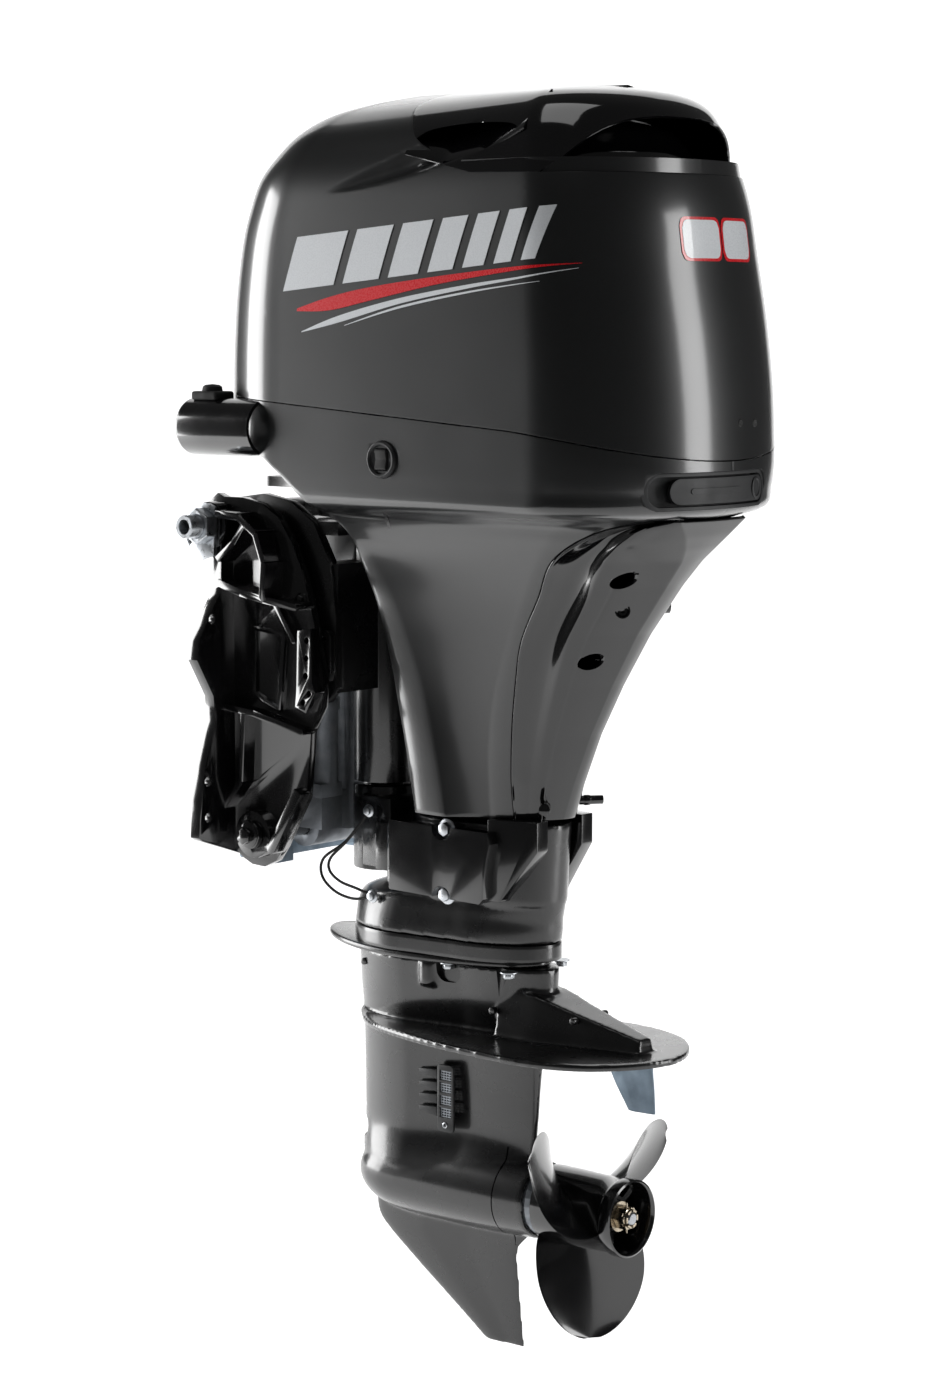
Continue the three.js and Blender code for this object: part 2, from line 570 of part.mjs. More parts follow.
// Gearcase: strut, plate, snout, torpedo and skeg in one casting.
const PLATE_EDGE = [
  [105, 0], [120, 30], [150, 60], [183, 78], [247, 97], [306, 107], [376, 114],
  [425, 115], [460, 108], [490, 95], [512, 78], [531, 55], [545, 28],
];
const TORPEDO_PROFILE = [
  [101, 0], [102, 8], [107, 18], [118, 29], [138, 39],
  [170, 45], [240, 47], [372, 44], [372, 0],
];
function makeGearcase() {
  const strut = loft([
    foil(-428 - GAP, 104, 384, 56, 0.85),
    foil(-470, 104, 384, 50, 0.8),
    foil(-516, 105, 370, 40, 0.7),
    foil(-560, 105, 364, 36, 0.6),
    foil(-632, 105, 358, 33, 0.6),
    foil(-690, 112, 352, 34, 0.7),
  ]);
  const port = PLATE_EDGE.slice(1).reverse().map(([x, y]) => [x, -y]);
  const plate = prism("Z", [...PLATE_EDGE, [551, 0], ...port], PLATE_Z - 4, PLATE_Z + 4);
  const snoutAt = (x, top, half) => [
    v3(x, -half, PLATE_Z),
    v3(x, half, PLATE_Z),
    v3(x, half * 0.8, top),
    v3(x, -half * 0.8, top),
  ];
  const snout = loft([
    snoutAt(330, -455, 44),
    snoutAt(392, -458, 38),
    snoutAt(420, -467, 32),
    snoutAt(512, -491, 15),
  ]);
  const torpedo = turned("X", [0, 0, PROP_Z], TORPEDO_PROFILE, 30);
  const skegAt = (z, front, rear, half) => foil(z, front, rear, half, 0.5);
  const skeg = loft([
    skegAt(-725, 116, 352, 12),
    skegAt(-762, 128, 332, 8),
    skegAt(-840, 236, 338, 5),
    skegAt(-875, 284, 342, 3),
  ]);
  const body = joined(strut, plate, snout, torpedo, skeg);
  const driveBore = rod("Z", [DRIVE_X, 0, 0], -700, -300, 17);
  const exhaust = loft([
    foil(-300, 268, 344, 30, 0.9),
    foil(-470, 268, 344, 30, 0.9),
    foil(-530, 272, 338, 14, 0.9),
    foil(-640, 272, 336, 11, 0.9),
  ]);
  const gearRoom = rod("X", [0, 0, PROP_Z], 140, 300, 36);
  const sternRoom = rod("X", [0, 0, PROP_Z], 290, 400, 39);
  const notch = rod("Y", [112, 0, -648], -60, 60, 12);
  const shiftBore = rod("Z", [176, 0, 0], -690, -400, 8);
  const tabSeat = block(456, 522, -11, 11, PLATE_Z - 10, PLATE_Z - 2);
  const grilles = [-1, 1].map((s) => block(210, 266, s * 40 - 12, s * 40 + 12, -634, -553));
  const galleries = [-1, 1].map((s) => block(240, 262, s * 24 - 10, s * 24 + 10, -620, -570));
  const rooms = [driveBore, exhaust, gearRoom, sternRoom, shiftBore];
  return cutBy(body, ...rooms, notch, tabSeat, ...grilles, ...galleries);
}

// Water intake grille, seated in the strut's side.
function makeIntakeGrille() {
  const plate = block(210 + GAP, 266 - GAP, 28 + GAP, 36, -634 + GAP, -553 - GAP);
  const bays = range(4).map((i) => block(222, 254, 20, 50, -620 + i * 14.5, -610 + i * 14.5));
  return cutBy(plate, ...bays);
}

function makeTrimTab() {
  const top = PLATE_Z - 2 - GAP;
  const base = block(458, 520, -9, 9, PLATE_Z - 8, top);
  const finAt = (z, front, rear, half) => foil(z, front, rear, half, 0.7);
  return base.add(loft([finAt(PLATE_Z - 5, 459, 519, 8), finAt(-574, 490, 526, 4)]));
}

function makeBearingCarrier() {
  const profile = [[296, 14], [296, 38.6], [372, 38.6], [380, 34], [380, 14]];
  return turned("X", [0, 0, PROP_Z], [...profile, profile[0]], 24);
}

// Gears. A bevel gear's teeth are drawn on its back cone and shrink towards the cones' common apex.
const PINION_TEETH = 11;
const GEAR_TEETH = 25;
const PINION_RADIUS = 14;
const GEAR_RADIUS = (PINION_RADIUS * GEAR_TEETH) / PINION_TEETH;
const TOOTH = 1.5;
const TOOTH_TIP = 0.1;
const BACKLASH = 0.25;

function bevelGear(teeth, radius, apexDistance, phase, hole) {
  const ringAt = (scale, z) =>
    range(teeth * 2).map((i) => {
      const r = radius + (i % 2 ? -TOOTH : TOOTH_TIP);
      const angle = phase + (i * Math.PI) / teeth;
      return v3(scale * r * Math.cos(angle), scale * r * Math.sin(angle), z);
    });
  const face = 0.3; // share of the cone that the teeth cover
  const inner = ringAt(1 - face, apexDistance * (1 - face));
  const blank = loft([ringAt(1, apexDistance + 5), ringAt(1, apexDistance), inner]);
  return blank.subtract(bore("Z", [0, 0, 0], -200, 200, hole)).translate([0, 0, BACKLASH]);
}

const atGear = (made, rotation) =>
  made.rotate(rotation).translate([DRIVE_X, 0, PROP_Z]);

const SHAFT_RADIUS = 8;
const GEAR_BORE = 13;
const HALF_TOOTH = Math.PI / GEAR_TEETH;
const crownGear = () => bevelGear(GEAR_TEETH, GEAR_RADIUS, PINION_RADIUS, HALF_TOOTH, GEAR_BORE);
const makePinion = () =>
  atGear(bevelGear(PINION_TEETH, PINION_RADIUS, GEAR_RADIUS, 0, SHAFT_RADIUS), [0, 0, 0]);
const makeForwardGear = () => atGear(crownGear(), [0, -90, 0]);
const makeReverseGear = () => atGear(crownGear(), [0, 90, 0]);

// Driveline parts on the upright axis.
const POWERHEAD_Z = 100 + GAP;
function makeDriveshaft() {
  const axis = [DRIVE_X, 0, 0];
  return rod("Z", axis, PROP_Z + 22, 108, SHAFT_RADIUS).add(rod("Z", axis, 80, 108, 10));
}

const CRANK = { low: 112, high: 404, journal: 18, pin: 14, web: 26, throw: 24, spacing: 88 };
function makeCrankshaft() {
  const axis = [DRIVE_X, 0, 0];
  const journals = rod("Z", axis, CRANK.low, CRANK.high, CRANK.journal);
  const webs = range(3).flatMap((i) => {
    const angle = (i * 2 * Math.PI) / 3;
    const z = 160 + i * CRANK.spacing - 10;
    const [px, py] = [DRIVE_X + CRANK.throw * Math.cos(angle), CRANK.throw * Math.sin(angle)];
    return [
      rod("Z", [px, py, 0], z - 16, z - 8, CRANK.web, 14),
      rod("Z", [px, py, 0], z + 8, z + 16, CRANK.web, 14),
      rod("Z", [px, py, 0], z - 10, z + 10, CRANK.pin, 12),
    ];
  });
  const socket = rod("Z", axis, CRANK.low - 5, CRANK.low + 16, 10.5);
  return cutBy(joined(journals, ...webs), socket);
}

function makeFlywheel() {
  const base = CRANK.high + GAP;
  const under = [[base, 0], [base, 40], [base - 14, 44], [base - 14, 96], [base - 6, 102]];
  const profile = [...under, [base + 12, 102], [base + 16, 92], [base + 16, 0]];
  return turned("Z", [DRIVE_X, 0, 0], profile, 28);
}

function makeImpeller() {
  const z = -466;
  const hub = rod("Z", [DRIVE_X, 0, 0], z, z + 14, 11.5);
  const vanes = range(6).map((i) => {
    const angle = (i * Math.PI) / 3;
    const [c, s] = [Math.cos(angle), Math.sin(angle)];
    const along = (r, w) => [DRIVE_X + c * r - s * w, s * r + c * w];
    return prism("Z", [along(9, -1.4), along(15.5, -1.4), along(15.5, 1.4), along(9, 1.4)], z + 1, z + 13);
  });
  return cutBy(joined(hub, ...vanes), bore("Z", [DRIVE_X, 0, 0], z - 5, z + 20, SHAFT_RADIUS));
}

// Powerhead castings.
function makeEngineBlock() {
  const crankcase = block(150, 300, -74, 74, POWERHEAD_Z, 384);
  const cylinders = block(295, 418, -62, 62, POWERHEAD_Z, 372);
  const feet = block(140, 470, -84, 84, POWERHEAD_Z, POWERHEAD_Z + 9);
  const crankBore = rod("Z", [DRIVE_X, 0, 0], 50, 500, 56);
  const bores = range(3).map((i) => rod("X", [0, 0, 150 + i * CRANK.spacing], 240, 500, 36));
  return cutBy(joined(crankcase, cylinders, feet), crankBore, ...bores);
}

function makeCylinderHead() {
  const head = block(418 + GAP, 492, -66, 66, POWERHEAD_Z + 12, 372);
  const cover = loft([
    section({ z: POWERHEAD_Z + 16, front: [500, 20, 48], rear: [516, 22, 40] }),
    section({ z: 366, front: [500, 20, 48], rear: [516, 22, 40] }),
  ]);
  return head.add(cover);
}

const makePiston = (i) => {
  const z = 150 + i * CRANK.spacing;
  const skirt = rod("X", [0, 0, z], 330, 378, 35.6);
  return skirt.subtract(rod("X", [0, 0, z], 320, 368, 29));
};

function makeStarter() {
  return joined(
    rod("Z", [186, 108, 0], 230, 372, 27),
    rod("Z", [186, 108, 0], 370, 388, 16),
    rod("Z", [186, 108, 0], 226, 232, 20),
  ).subtract(block(100, 300, 60, 74 + GAP, 0, 500));
}

// Propeller group on the propeller shaft.
function bladeSection(root, at) {
  const { r, x, angle, chord, thick } = at;
  const pitchStep = PROP_PITCH / (2 * Math.PI);
  const count = 7;
  const span = chord / Math.hypot(r, pitchStep);
  const side = (sign) =>
    range(count).map((i) => {
      const u = i / (count - 1);
      const turn = (u - 0.5) * span;
      const bulge = sign * thick * 0.5 * Math.sin(Math.PI * Math.min(1, Math.max(0, u))) ** 0.7;
      const a = root + angle + turn + (bulge * -pitchStep) / (r * Math.hypot(r, pitchStep));
      const along = x + turn * pitchStep + (bulge * r) / Math.hypot(r, pitchStep);
      return v3(along, r * Math.cos(a), PROP_Z + r * Math.sin(a));
    });
  return [...side(1), ...side(-1).reverse().slice(1, -1)];
}

const BLADE = { x: 432, skew: -0.1, count: 3, phase: Math.PI / 6 };
function makeBlade(root) {
  const rings = [0.26, 0.38, 0.54, 0.7, 0.84, 0.94, 0.99].map((share) => {
    const r = share * PROP_RADIUS;
    const widest = 0.62;
    const roundness = Math.sqrt(Math.max(0.02, 1 - ((share - widest) / 0.42) ** 2));
    const taper = share < widest ? 0.82 + 0.18 * (share / widest) : 1;
    const chord = 128 * roundness * taper;
    return bladeSection(root, {
      r,
      x: BLADE.x + 18 * (share - 0.26),
      angle: BLADE.skew * (share - 0.3),
      chord,
      thick: 9 - 7 * share,
    });
  });
  return loft(rings);
}

function makePropeller() {
  const front = 380 + GAP;
  const ring = HUB_END_X - 21;
  const outside = [[front, 35], [front, 43], [ring, 41], [ring, 43], [HUB_END_X, 42.5]];
  const profile = [...outside, [HUB_END_X, 38], [386, 36]];
  const barrel = turned("X", [0, 0, PROP_Z], [...profile, profile[0]], 30);
  const hubBore = bore("X", [0, 0, PROP_Z], 380, 480, 18);
  const innerHub = rod("X", [0, 0, PROP_Z], 388, 470, 24).subtract(hubBore);
  const spokes = range(3).map((i) => {
    const angle = BLADE.phase + (i * 2 * Math.PI) / 3;
    const [c, s] = [Math.cos(angle), Math.sin(angle)];
    const at = (r, w) => [c * r - s * w, PROP_Z + s * r + c * w];
    return prism("X", [at(21, -3), at(38, -3), at(38, 3), at(21, 3)], 390, 466);
  });
  const core = rod("X", [0, 0, PROP_Z], 300, 600, 37);
  const blades = range(BLADE.count).map((i) => makeBlade(BLADE.phase + (i * 2 * Math.PI) / 3).subtract(core));
  return joined(barrel, innerHub, ...spokes, ...blades);
}

const PROP_SHAFT_RADIUS = 10;
function makePropShaft() {
  const body = [[168, 0], [168, PROP_SHAFT_RADIUS], [478, PROP_SHAFT_RADIUS]];
  const thread = [[478, 7.5], [494, 7.5], [496, 6], [496, 0]];
  const pinHole = rod("Z", [487, 0, 0], PROP_Z - 20, PROP_Z + 20, 1.6);
  return turned("X", [0, 0, PROP_Z], [...body, ...thread], 16).subtract(pinHole);
}

const collar = (from, to, inner, outer) =>
  rod("X", [0, 0, PROP_Z], from, to, outer).subtract(bore("X", [0, 0, PROP_Z], from - 1, to + 1, inner));
const makePropBush = () => collar(390, 468, PROP_SHAFT_RADIUS, 18);
const makeThrustWasher = () => collar(380 + GAP, 386, PROP_SHAFT_RADIUS, 30);

function makePropNut() {
  const hex = rod("X", [0, 0, PROP_Z], 478 + GAP, 490, 14, 6);
  const hole = bore("X", [0, 0, PROP_Z], 470, 500, 7.5);
  const slots = [30, 90, 150].map((angle) =>
    block(484.4, 495, -20, 20, -2, 2).rotate([angle, 0, 0]).translate([0, 0, PROP_Z]),
  );
  return cutBy(hex, hole, ...slots);
}

const makeCotter = () => rod("Z", [487, 0, 0], PROP_Z - 17, PROP_Z + 17, 1.2);

const makeDog = () => collar(214, 230, PROP_SHAFT_RADIUS, 17);

function makeShiftRod() {
  return joined(rod("Z", [176, 0, 0], -655, -440, 4), rod("Z", [176, 0, 0], -452, -440, 6));
}

// Bonding lead: two thin wires that loop from the yoke's eyelet to the mid case, joined at each end.
const LEAD_LOOPS = [
  [
    [152, -50, -266], [138, -53, -284], [118, -56, -306], [92, -63, -326],
    [92, -66, -346], [112, -66, -362], [140, -64, -368], [168, -62, -362],
  ],
  [
    [152, -50, -266], [140, -54, -284], [120, -57, -306], [101, -61, -325],
    [101, -63, -339], [118, -64, -350], [144, -63, -356], [168, -62, -362],
  ],
];
function makeBondingLead() {
  const wires = LEAD_LOOPS.map((path) => bar(path, 1.6, 6, 16));
  const ends = [LEAD_LOOPS[0][0], LEAD_LOOPS[0].at(-1)];
  const eyelets = ends.map(([x, y, z]) => rod("Y", [x, 0, z], y - 3, y + 3, 5));
  return joined(...wires, ...eyelets);
}

// Finishes: colour, roughness, metalness.
const FINISH = {
  gloss: [0x17181b, 0.22, 0.4],
  satin: [0x141517, 0.4, 0.3],
  matt: [0x1b1c1e, 0.65, 0.0],
  silver: [0xb9bcc0, 0.35, 0.9],
  casting: [0x8b8f94, 0.55, 0.8],
  zinc: [0x7f8e9a, 0.6, 0.7],
  brass: [0xb79b72, 0.4, 0.9],
  rubber: [0x161616, 0.85, 0.0],
  steel: [0x9a9ca0, 0.3, 1.0],
};

const outboard = new THREE.Group();
function add(name, made, finish) {
  const [color, roughness, metalness] = FINISH[finish];
  const material = new THREE.MeshStandardMaterial({ color, roughness, metalness });
  const mesh = new THREE.Mesh(geometryOf(made), material);
  mesh.name = name;
  outboard.add(mesh);
}

const clamp = makeClampBracket();
add("clamp_bracket_starboard", clamp, "satin");
add("clamp_bracket_port", mirrored(clamp), "satin");
add("tilt_tube", makeTiltTube(), "silver");
add("tilt_nut_port", makeTiltNut(-172, -155 - GAP), "silver");
add("tilt_nut_starboard", makeTiltNut(150 + GAP, 168), "silver");
add("tilt_plate", makeTiltPlate(), "silver");
add("lower_pin", makeLowerPin(), "silver");
add("bracket_anode", makeBracketAnode(), "zinc");

add("swivel_bracket", makeSwivel(), "satin");
add("tilt_lock_lever", makeTiltLock(), "casting");

add("trim_cylinder", makeTrimCylinder(), "casting");
add("trim_pump", makeTrimPump(), "casting");
add("trim_rod", makeTrimRod(), "steel");
add("trim_rod_pin", makeRodPin(), "steel");

add("steering_bracket", makeSteeringBracket(), "satin");
add("lower_yoke", makeLowerYoke(), "satin");
add("mid_case", makeMidCase(), "satin");
const mountCover = makeLowerMountCover();
add("lower_mount_cover_starboard", mountCover, "satin");
add("lower_mount_cover_port", mirrored(mountCover), "satin");
add("spacer_plate", makeSpacer(), "satin");
add("splash_plate", makeSplashPlate(), "satin");
add("gearcase", makeGearcase(), "gloss");
const grille = makeIntakeGrille();
add("intake_grille_starboard", grille, "matt");
add("intake_grille_port", mirrored(grille), "matt");
add("trim_tab", makeTrimTab(), "zinc");
add("bearing_carrier", makeBearingCarrier(), "casting");

add("side_cover_port", makeSideCover("port"), "gloss");
add("side_cover_starboard", makeSideCover("starboard"), "gloss");
add("rear_cover", makeRearCover(), "gloss");
add("rigging_tube", makeRiggingTube(), "gloss");
add("rigging_grommet", makeRiggingGrommet(), "rubber");
add("switch_bezel", makeSwitchBezel(), "matt");
add("switch_rocker", makeSwitchRocker(), "matt");
add("latch_base", makeLatchBase(), "matt");
add("latch_lever", makeLatchLever(), "matt");
add("latch_hook", makeLatchHook(), "steel");
add("bonding_lead", makeBondingLead(), "rubber");

add("cowl", makeCowl(), "gloss");
add("top_cap", makeTopCap(), "gloss");

add("engine_block", makeEngineBlock(), "casting");
add("cylinder_head", makeCylinderHead(), "casting");
range(3).forEach((i) => add("piston_" + (i + 1), makePiston(i), "steel"));
add("starter_motor", makeStarter(), "matt");

add("crankshaft", makeCrankshaft(), "steel");
add("flywheel", makeFlywheel(), "steel");
add("driveshaft", makeDriveshaft(), "steel");
add("pinion_gear", makePinion(), "steel");
add("pump_impeller", makeImpeller(), "rubber");
add("forward_gear", makeForwardGear(), "steel");
add("reverse_gear", makeReverseGear(), "steel");
add("clutch_dog", makeDog(), "steel");
add("shift_rod", makeShiftRod(), "steel");
add("prop_shaft", makePropShaft(), "steel");
add("propeller", makePropeller(), "gloss");
add("prop_bush", makePropBush(), "rubber");
add("thrust_washer", makeThrustWasher(), "brass");
add("prop_nut", makePropNut(), "brass");
add("cotter_pin", makeCotter(), "steel");

export default outboard;
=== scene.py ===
"""Looks of a mid-size four-stroke outboard motor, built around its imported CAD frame."""

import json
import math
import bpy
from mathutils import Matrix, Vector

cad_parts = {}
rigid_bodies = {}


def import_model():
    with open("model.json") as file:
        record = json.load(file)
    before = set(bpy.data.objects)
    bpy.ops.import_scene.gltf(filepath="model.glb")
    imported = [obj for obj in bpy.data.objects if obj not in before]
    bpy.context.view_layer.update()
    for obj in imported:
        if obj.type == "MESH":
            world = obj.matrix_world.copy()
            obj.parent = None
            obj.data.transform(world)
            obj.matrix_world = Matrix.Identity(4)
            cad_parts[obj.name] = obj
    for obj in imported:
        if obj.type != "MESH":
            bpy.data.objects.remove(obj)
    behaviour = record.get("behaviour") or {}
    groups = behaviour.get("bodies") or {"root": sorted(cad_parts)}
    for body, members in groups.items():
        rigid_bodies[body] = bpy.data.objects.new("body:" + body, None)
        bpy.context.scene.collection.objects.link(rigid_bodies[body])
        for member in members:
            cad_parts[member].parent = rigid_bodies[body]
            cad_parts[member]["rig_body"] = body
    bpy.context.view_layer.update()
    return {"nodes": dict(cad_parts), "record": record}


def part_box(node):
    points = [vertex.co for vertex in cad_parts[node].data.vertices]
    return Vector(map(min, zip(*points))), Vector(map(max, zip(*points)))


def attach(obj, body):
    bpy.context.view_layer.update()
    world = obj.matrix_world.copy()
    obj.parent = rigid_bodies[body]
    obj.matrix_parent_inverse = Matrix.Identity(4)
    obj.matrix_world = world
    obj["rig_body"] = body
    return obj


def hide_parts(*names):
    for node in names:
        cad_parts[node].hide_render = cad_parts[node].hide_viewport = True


bl_info = {
    "name": "Outboard motor looks",
    "version": (1, 0, 0),
    "blender": (4, 5, 0),
    "location": "3D View > Sidebar > Motor",
    "description": "Covers, leg, propeller, fasteners and finishes of an outboard motor",
    "category": "Object",
}

import bpy
import numpy as np
from mathutils import Matrix, Vector

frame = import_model()

MM = 0.001

# The leg's axes and heights, in millimetres: X aft, Y starboard, Z up.
PROP_Z = -696
PLATE_Z = -510
TILT_X, TILT_Z = -4, 60
SIDES = (("port", -1), ("starboard", 1))

# Plan sections, each (z, drop, front centre, length, half-width, rear centre, length, half-width).
COWL_LEVELS = [
    (205, 1, 112, 150, 165, 495, 126, 185),
    (260, 0.83, 113, 149, 165, 493, 125, 184),
    (320, 0.63, 113, 145, 162, 488, 122, 181),
    (380, 0.44, 115, 138, 157, 481, 117, 176),
    (420, 0.3, 118, 130, 150, 477, 114, 171),
    (450, 0.2, 122, 122, 142, 472, 110, 165),
    (475, 0.1, 130, 110, 130, 466, 105, 156),
    (500, 0, 140, 92, 112, 460, 98, 146),
    (520, 0, 155, 70, 85, 455, 90, 130),
    (533, 0, 178, 45, 52, 446, 76, 104),
    (541, 0, 215, 30, 25, 430, 50, 55),
]
COVER_LEVELS = [
    (204, 1, 112, 150, 165, 495, 126, 185),
    (165, 0.6, 112, 150, 165, 495, 126, 184.5),
    (120, 0.15, 114, 150, 163, 493, 125, 183),
    (92, 0, 135, 150, 158, 490, 122, 178),
    (80, 0, 150, 150, 142, 476, 109, 124),
    (60, 0, 175, 150, 121, 455, 102, 113),
    (39, 0, 200, 150, 110, 437, 95, 105),
    (-6, 0, 230, 150, 103, 405, 85, 92),
    (-57, 0, 250, 150, 96, 380, 78, 82),
    (-121, 0, 270, 150, 90, 353, 70, 72),
    (-189, 0, 285, 150, 88, 338, 62, 62),
    (-260, 0, 295, 150, 85, 334, 55, 53),
]
# Front edge of the side covers and the line where they meet the rear cover, as (x, z).
FRONT_EDGE = [
    (94, 141), (136, 110), (176, 72), (191, 28), (207, -19),
    (218, -74), (226, -129), (237, -185), (248, -255),
]
SWOOSH = [
    (572, 84), (519, 72), (460, 40), (429, -4), (400, -51),
    (385, -95), (371, -152), (363, -208), (362, -255),
]
# Back of the rear cover's ridge: (z, x, half-width).
RIDGE_BACK = [
    (84, 598, 60), (66, 590, 40), (52, 581, 28), (38, 570, 19), (10, 547, 15),
    (-45, 506, 13), (-103, 471, 11), (-160, 441, 10), (-218, 417, 10), (-256, 404, 10),
]
COVER_LOW = -255
PAN_Z = 141
STERN_Z = 84
# Seam between the cowl and its cap, and the lower edge of the cap's visor, as (x, z).
SEAM = [(262, 560), (262, 527), (297, 489), (341, 462), (354, 457), (392, 448.5), (489, 446), (640, 446)]
VISOR = [(489, 446), (508, 461), (522, 480), (531, 491), (541, 501), (552, 506), (640, 507)]
LATCH_Y = (-118, 79)
LATCH_Z = (96, 136)


# Colours. Hex values are sRGB as on a colour card; the shader wants linear light.
def linear(hex_colour):
    channels = [int(hex_colour[i : i + 2], 16) / 255 for i in (0, 2, 4)]
    return tuple(
        c / 12.92 if c <= 0.04045 else ((c + 0.055) / 1.055) ** 2.4 for c in channels
    )


class MotorSizes(bpy.types.PropertyGroup):
    """Sizes a user may want to change."""

    edge: bpy.props.FloatProperty(
        name="Edge round",
        description="Radius of the covers' moulded edges",
        default=0.0012,
        unit="LENGTH",
    )
    cowl_wall: bpy.props.FloatProperty(
        name="Cowl wall", description="Thickness of the cowl", default=0.005, unit="LENGTH"
    )
    cover_wall: bpy.props.FloatProperty(
        name="Cover wall", description="Thickness of the lower covers", default=0.004, unit="LENGTH"
    )
    cast_grain: bpy.props.FloatProperty(
        name="Casting mesh",
        description="Size of the facets from which the castings' blends are made",
        default=0.0024,
        unit="LENGTH",
    )
    lead_radius: bpy.props.FloatProperty(
        name="Lead radius", description="Radius of a bonding lead", default=0.0016, unit="LENGTH"
    )


def colour_property(name, hex_colour, description):
    return bpy.props.FloatVectorProperty(
        name=name,
        description=description,
        default=linear(hex_colour),
        subtype="COLOR",
        min=0,
        max=1,
    )


class MotorColours(bpy.types.PropertyGroup):
    """Colours of the finishes."""

    enamel: colour_property("Cowl enamel", "0e0f10", "Metallic near-black of the cowl")
    gloss: colour_property("Gloss black", "070708", "Moulded high-gloss black")
    satin: colour_property("Leg black", "0a0a0b", "Marine enamel of the leg")
    red: colour_property("Red stripe", "d0101c", "Upper stripe on the cowl")
    silver: colour_property("Silver stripe", "d5d8db", "Lower stripes on the cowl")


def sizes():
    return bpy.context.scene.motor_sizes


def colours():
    return bpy.context.scene.motor_colours


# Selection and modifiers.
def alone(*pieces):
    bpy.ops.object.select_all(action="DESELECT")
    for piece in pieces:
        piece.select_set(True)
    bpy.context.view_layer.objects.active = pieces[0]


def edited(piece, *steps):
    """Runs edit-mode steps with everything selected first."""
    alone(piece)
    bpy.ops.object.mode_set(mode="EDIT")
    bpy.ops.mesh.select_mode(type="VERT")
    bpy.ops.mesh.select_all(action="SELECT")
    for step in steps:
        step()
    bpy.ops.object.mode_set(mode="OBJECT")
    return piece


def modified(piece, kind, **settings):
    alone(piece)
    modifier = piece.modifiers.new(kind.title(), kind)
    for key, value in settings.items():
        setattr(modifier, key, value)
    bpy.ops.object.modifier_apply(modifier=modifier.name)
    return piece


def settled(piece):
    """Puts the object's place into its mesh."""
    alone(piece)
    bpy.ops.object.transform_apply(location=True, rotation=True, scale=True)
    return piece


def joined(name, *pieces):
    alone(*pieces)
    if len(pieces) > 1:
        bpy.ops.object.join()
    pieces[0].name = name
    return pieces[0]


def cut(piece, *tools):
    for tool in tools:
        modified(piece, "BOOLEAN", object=tool, operation="DIFFERENCE", solver="EXACT")
        bpy.data.objects.remove(tool)
    return piece


def smooth(piece, degrees=32):
    alone(piece)
    bpy.ops.object.shade_smooth_by_angle(angle=math.radians(degrees))
    return piece


def rounded(piece, width, segments=2, degrees=35):
    modified(
        piece,
        "BEVEL",
        width=width,
        segments=segments,
        limit_method="ANGLE",
        angle_limit=math.radians(degrees),
        use_clamp_overlap=True,
    )
    return smooth(piece, 40)


def outwards(piece):
    return edited(piece, lambda: bpy.ops.mesh.normals_make_consistent(inside=False))


def welded(piece, distance=1e-5):
    return edited(piece, lambda: bpy.ops.mesh.remove_doubles(threshold=distance))


def capped(piece):
    """Closes the open ends of a tube or loft."""
    return edited(
        piece,
        lambda: bpy.ops.mesh.select_all(action="DESELECT"),
        lambda: bpy.ops.mesh.select_non_manifold(),
        lambda: bpy.ops.mesh.fill_holes(sides=0),
    )


def drop_faces(piece, test):
    """Deletes the faces whose centre, in millimetres, meets a test."""
    for face in piece.data.polygons:
        face.select = False
    alone(piece)
    bpy.ops.object.mode_set(mode="EDIT")
    bpy.ops.mesh.select_all(action="DESELECT")
    bpy.ops.object.mode_set(mode="OBJECT")
    for face in piece.data.polygons:
        face.select = bool(test(*(face.center / MM)))
    bpy.ops.object.mode_set(mode="EDIT")
    bpy.ops.mesh.select_mode(type="FACE")
    bpy.ops.mesh.delete(type="FACE")
    bpy.ops.object.mode_set(mode="OBJECT")
    return piece


# Primitives shaped to a formula.
def grid(name, columns, rows, place):
    """A sheet of faces: place(u, v) gives each corner in millimetres, u and v from 0 to 1."""
    bpy.ops.object.select_all(action="DESELECT")
    bpy.ops.mesh.primitive_grid_add(x_subdivisions=columns, y_subdivisions=rows, size=1)
    piece = bpy.context.object
    piece.name = name
    for vertex in piece.data.vertices:
        vertex.co = Vector(place(vertex.co.x + 0.5, vertex.co.y + 0.5)) * MM
    return piece


def prism(name, axis, outline, low, high):
    """An outline pushed along an axis: points are (y, z), (x, z) or (x, y)."""
    bpy.ops.object.select_all(action="DESELECT")
    bpy.ops.mesh.primitive_circle_add(vertices=len(outline), fill_type="NGON")
    piece = bpy.context.object
    piece.name = name
    for vertex, (a, b) in zip(piece.data.vertices, outline):
        place = {"X": (low, a, b), "Y": (a, low, b), "Z": (a, b, low)}[axis]
        vertex.co = Vector(place) * MM
    push = {"X": (1, 0, 0), "Y": (0, 1, 0), "Z": (0, 0, 1)}[axis]
    step = Vector(push) * (high - low) * MM
    edited(
        piece,
        lambda: bpy.ops.mesh.extrude_region_move(TRANSFORM_OT_translate={"value": step}),
    )
    return outwards(piece)


def rod(name, axis, centre, low, high, radius, sides=32):
    """A cylinder along an axis; centre is a point on it."""
    turn = {"X": (0, math.pi / 2, 0), "Y": (math.pi / 2, 0, 0), "Z": (0, 0, 0)}[axis]
    place = list(centre)
    place["XYZ".index(axis)] = (low + high) / 2
    bpy.ops.object.select_all(action="DESELECT")
    bpy.ops.mesh.primitive_cylinder_add(
        vertices=sides,
        radius=radius * MM,
        depth=abs(high - low) * MM,
        location=Vector(place) * MM,
        rotation=turn,
    )
    piece = bpy.context.object
    piece.name = name
    return settled(piece)


